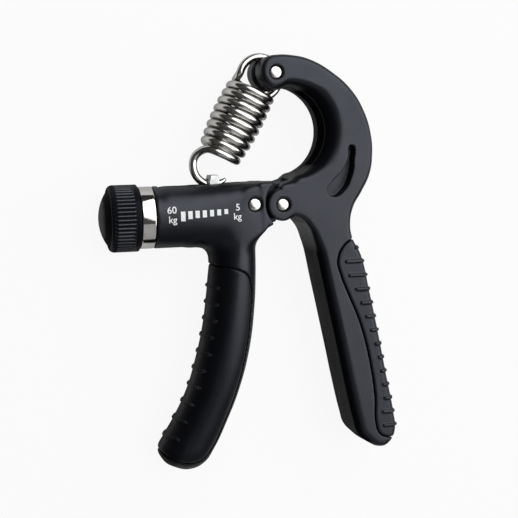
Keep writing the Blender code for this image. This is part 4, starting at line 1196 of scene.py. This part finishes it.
class GRIPPER_OT_spring(bpy.types.Operator):
    """Makes the wound spring; its lower end follows the nut and its upper end the spring pin"""

    bl_idname = "gripper.spring"
    bl_label = "Spring"

    def execute(self, context):
        radius = sizes().wire / MM / 2
        route, stretch = spring_route()
        across, other, slope = carried_frames(route)
        cap = np.linspace(0, np.pi / 2, 7)[:-1]
        start = route[0] - slope[0] * radius * 0.4 * np.cos(cap)[:, None]
        end = route[-1] + slope[-1] * radius * np.cos(cap[::-1])[:, None]
        centre = np.vstack([start, route, end])
        walked = np.concatenate([[0], np.cumsum(np.linalg.norm(np.diff(route, axis=0), axis=1))])
        wire = radius * np.interp(walked, (0, CUT_TIP), (0.45, 1.0))
        size = np.concatenate([wire[0] * np.sin(cap), wire, radius * np.sin(cap[::-1])])
        across, other, stretch = (
            np.concatenate([np.repeat(rows[:1], len(cap), 0), rows, np.repeat(rows[-1:], len(cap), 0)])
            for rows in (across, other, stretch))
        sides = 24
        turn = np.linspace(0, 2 * np.pi, sides, endpoint=False)
        c, s = np.cos(turn)[None, :, None], np.sin(turn)[None, :, None]
        round_path = across[:, None] * c + other[:, None] * s
        points = centre[:, None] + round_path * size[:, None, None]
        run = np.concatenate([[0], np.cumsum(np.linalg.norm(np.diff(centre, axis=0), axis=1))])
        uv = np.stack(np.broadcast_arrays(turn[None, :] / (2 * np.pi), run[:, None] / 10), -1)
        piece = add_piece(
            "spring_wound", points.reshape(-1, 3), grid_faces(len(centre), sides), looks["spring"], "spring",
            "main_spring", uv.reshape(-1, 2))
        weights = np.zeros(len(piece.data.vertices), np.float32)
        spots = np.array([v.co for v in piece.data.vertices]) / MM - PIVOT
        for rows in np.array_split(np.arange(len(spots)), 60):
            gap = ((spots[rows][:, None] - centre[None]) ** 2).sum(-1)
            weights[rows] = stretch[gap.argmin(1)]
        group = piece.vertex_groups.new(name="stretch")
        levels = np.rint(weights * 250)
        for level in np.unique(levels):
            group.add(np.flatnonzero(levels == level).tolist(), float(level) / 250, "REPLACE")
        hook = piece.modifiers.new("stretch_to_nut", "HOOK")
        hook.object = frame["bodies"]["nut"]
        hook.vertex_group = group.name
        hook.falloff_type = "NONE"
        hook.matrix_inverse = Matrix.Identity(4)
        return {"FINISHED"}


# Print


def add_print(name, mesh):
    """Lays a flat mesh in millimetres onto the barrel's front, a hair proud of it."""
    flat = np.empty(len(mesh.vertices) * 3)
    mesh.vertices.foreach_get("co", flat)
    flat = flat.reshape(-1, 3)
    flat[:, 2] = front_height(flat[:, 0], flat[:, 1]) + PRINT_PROUD
    mesh.vertices.foreach_set("co", place(flat).ravel())
    mesh.update()
    if mesh.polygons[0].normal.z < 0:
        mesh.flip_normals()
    dress(link(bpy.data.objects.new(name, mesh)), looks["ink"], "left_body")


class GRIPPER_OT_scale_print(bpy.types.Operator):
    """Prints the strength scale on the barrel: two numbers with their unit and seven bars"""

    bl_idname = "gripper.scale_print"
    bl_label = "Scale print"

    def execute(self, context):
        work = bmesh.new()
        for word, x, y, height in WORDS:
            text = bpy.data.curves.new("word", "FONT")
            text.body = word
            text.align_x = text.align_y = "CENTER"
            text.size, text.resolution_u, text.offset = height * LETTER_SIZE, 4, LETTER_BOLD
            holder = link(bpy.data.objects.new("word", text))
            context.view_layer.update()
            mesh = bpy.data.meshes.new_from_object(holder)
            mesh.transform(Matrix.Translation((x, y, 0)))
            bpy.data.objects.remove(holder)
            work.from_mesh(mesh)
            bpy.data.meshes.remove(mesh)
        for cut_y in np.arange(-6.0, 2.0, 0.4):
            geometry = work.verts[:] + work.edges[:] + work.faces[:]
            bmesh.ops.bisect_plane(work, geom=geometry, plane_co=(0, cut_y, 0), plane_no=(0, 1, 0))
        mesh = bpy.data.meshes.new("scale_words")
        work.to_mesh(mesh)
        work.free()
        add_print("scale_words", mesh)

        points, faces = [], []
        u, v = np.meshgrid(np.linspace(0, 1, 4), np.linspace(0, 1, 10), indexing="ij")
        tops = np.linspace(*BARS_TOP, len(BAR_HEIGHTS))
        for k, (top, width, height) in enumerate(zip(tops, BAR_WIDTHS, BAR_HEIGHTS)):
            x = BARS_FROM + BARS_PITCH * k + width * u
            faces.append(grid_faces(*u.shape, columns_wrap=False) + u.size * k)
            points.append(np.stack([x, top - height * v, 0 * x], -1).reshape(-1, 3))
        mesh = bpy.data.meshes.new("scale_bars")
        mesh.from_pydata(np.vstack(points), [], np.vstack(faces)[:, ::-1])
        add_print("scale_bars", mesh)
        return {"FINISHED"}


# Studio

CAMERA_TURN = 14.5
CAMERA_RISE = 5.7
CAMERA_ROLL = -1.45
CAMERA_TARGET = (-6.81, -20.35, 0.0)
CAMERA_DISTANCE = 0.45
CAMERA_LENS = 84.44
LAMP_REACH = 0.8
FLOOR_HALF = 3.0


def direction(turn, rise):
    """A direction turned from the front towards +X and then towards +Y, in degrees."""
    turn, rise = math.radians(turn), math.radians(rise)
    return Vector((math.sin(turn) * math.cos(rise), math.sin(rise), math.cos(turn) * math.cos(rise)))


def looking_back(way, side, lean, reach):
    """Matrix of a camera or lamp that looks back along a way at the target, leaning about its line of sight."""
    up, lean = way.cross(side), math.radians(lean)
    side, up = math.cos(lean) * side + math.sin(lean) * up, math.cos(lean) * up - math.sin(lean) * side
    where = Vector(place(CAMERA_TARGET)) + way * reach
    return Matrix([[side[i], up[i], way[i], where[i]] for i in range(3)] + [[0, 0, 0, 1]])


def soft_box(name, turn, rise, width, height, level, lean=0.0):
    """An area lamp that faces the object, lit to a level of brightness over its face."""
    lamp = bpy.data.lights.new(name, "AREA")
    lamp.shape = "RECTANGLE"
    lamp.size, lamp.size_y = width, height
    lamp.energy = level * math.pi * width * height
    holder = link(bpy.data.objects.new(name, lamp))
    way = direction(turn, rise)
    holder.matrix_world = looking_back(way, (Vector((1, 0, 0)) - way * way.x).normalized(), lean, LAMP_REACH)
    holder.visible_camera = False


def floor_look():
    """Pale floor: seen bright from the camera, through glass and, dimmer, in metal; it keeps its shadow. Round
    the object it is a painted pool of light that darkens further out.
    """
    look, tree, shader = new_look("pale_floor", (0.88, 0.88, 0.88), 0.9)
    shader["Specular IOR Level"].default_value = 0.0
    path = tree.nodes.new("ShaderNodeLightPath").outputs
    mirrored = math_node(tree, "MULTIPLY", path["Is Glossy Ray"], 0.4)
    seen = math_node(tree, "MAXIMUM", path["Is Camera Ray"], mirrored)
    seen = math_node(tree, "MAXIMUM", seen, path["Is Transmission Ray"])
    length = tree.nodes.new("ShaderNodeVectorMath")
    length.operation = "LENGTH"
    feed(tree, object_place(tree), length.inputs[0])
    # near is 1 within 0.155 m of the object and falls to 0.08 past 0.26 m; the floor's colour and its glow for
    # all but camera rays fade with it, a painted pool of light
    near = spread(tree, length.outputs["Value"], 1.0, 0.08, 0.155, 0.26)
    feed(tree, colour_mix(tree, near, (0.03, 0.03, 0.03), (0.62, 0.62, 0.62)), shader["Base Color"])
    shown = math_node(tree, "MAXIMUM", near, path["Is Camera Ray"])
    glow = node(tree, "ShaderNodeEmission", Strength=shown)
    mix = tree.nodes.new("ShaderNodeMixShader")
    surface = tree.nodes["Principled BSDF"].outputs[0]
    for socket, value in zip(mix.inputs, (math_node(tree, "MULTIPLY", seen, 0.92), surface, glow.outputs[0])):
        feed(tree, value, socket)
    feed(tree, mix.outputs[0], tree.nodes["Material Output"].inputs["Surface"])
    return look


class GRIPPER_OT_stage(bpy.types.Operator):
    """Makes the floor, the studio light and the camera"""

    bl_idname = "gripper.stage"
    bl_label = "Stage"

    def execute(self, context):
        scene = context.scene
        camera = bpy.data.cameras.new("camera")
        camera.lens, camera.sensor_width, camera.clip_start = CAMERA_LENS, 36, 0.01
        scene.camera = link(bpy.data.objects.new("camera", camera))
        way = direction(-CAMERA_TURN, CAMERA_RISE)
        side = Vector((0, 1, 0)).cross(way).normalized()
        scene.camera.matrix_world = looking_back(way, side, CAMERA_ROLL, CAMERA_DISTANCE)

        floor = bpy.data.meshes.new("floor")
        far = FLOOR_HALF
        floor.from_pydata([(-far, -far, 0), (far, -far, 0), (far, far, 0), (-far, far, 0)], [], [(0, 1, 2, 3)])
        floor.materials.append(floor_look())
        link(bpy.data.objects.new("floor", floor))

        scene.world = bpy.data.worlds.new("studio")
        scene.world.use_nodes = True
        tree = scene.world.node_tree
        height = split(tree, tree.nodes.new("ShaderNodeTexCoord").outputs["Generated"])[2]
        level = spread(tree, height, 0.03, 0.08, 0.1, 0.9)
        path = tree.nodes.new("ShaderNodeLightPath").outputs
        ground = tree.nodes["Background"].inputs
        feed(tree, math_node(tree, "MAXIMUM", level, path["Is Camera Ray"]), ground["Strength"])
        ground["Color"].default_value = (1.0, 1.0, 1.0, 1.0)
        soft_box("main_light", 33.5, 22.5, 1.56, 1.08, 2.4, -45)
        soft_box("fill_light", 0, -52, 0.9, 1.00, 0.32)
        scene.view_settings.view_transform = "Standard"
        return {"FINISHED"}


class GRIPPER_PT_panel(bpy.types.Panel):
    """Steps of the gripper's finish"""

    bl_idname = "GRIPPER_PT_panel"
    bl_label = "Hand gripper"
    bl_space_type = "VIEW_3D"
    bl_region_type = "UI"
    bl_category = "Gripper"

    def draw(self, context):
        for step in STEPS:
            self.layout.operator(step.bl_idname)
        for group in (context.scene.gripper_sizes, context.scene.gripper_colours):
            for label in group.bl_rna.properties.keys():
                if label not in ("rna_type", "name"):
                    self.layout.prop(group, label)


STEPS = (
    GRIPPER_OT_stage,
    GRIPPER_OT_bodies,
    GRIPPER_OT_grips,
    GRIPPER_OT_pins,
    GRIPPER_OT_barrel_end,
    GRIPPER_OT_knob,
    GRIPPER_OT_screws,
    GRIPPER_OT_nut,
    GRIPPER_OT_spring,
    GRIPPER_OT_scale_print,
)
CLASSES = (GripperSizes, GripperColours, *STEPS, GRIPPER_PT_panel)


def register():
    """Makes the classes known and hangs the settings on the scene."""
    for made in CLASSES:
        bpy.utils.register_class(made)
    bpy.types.Scene.gripper_sizes = PointerProperty(type=GripperSizes)
    bpy.types.Scene.gripper_colours = PointerProperty(type=GripperColours)


def unregister():
    """Takes the settings and classes away."""
    del bpy.types.Scene.gripper_sizes
    del bpy.types.Scene.gripper_colours
    for made in reversed(CLASSES):
        bpy.utils.unregister_class(made)


def main():
    """Builds the stage and every piece."""
    register()
    make_looks()
    bpy.ops.gripper.stage()
    bpy.ops.gripper.bodies()
    bpy.ops.gripper.grips()
    bpy.ops.gripper.pins()
    bpy.ops.gripper.barrel_end()
    bpy.ops.gripper.knob()
    bpy.ops.gripper.screws()
    bpy.ops.gripper.nut()
    bpy.ops.gripper.spring()
    bpy.ops.gripper.scale_print()


if __name__ == "__main__":
    main()
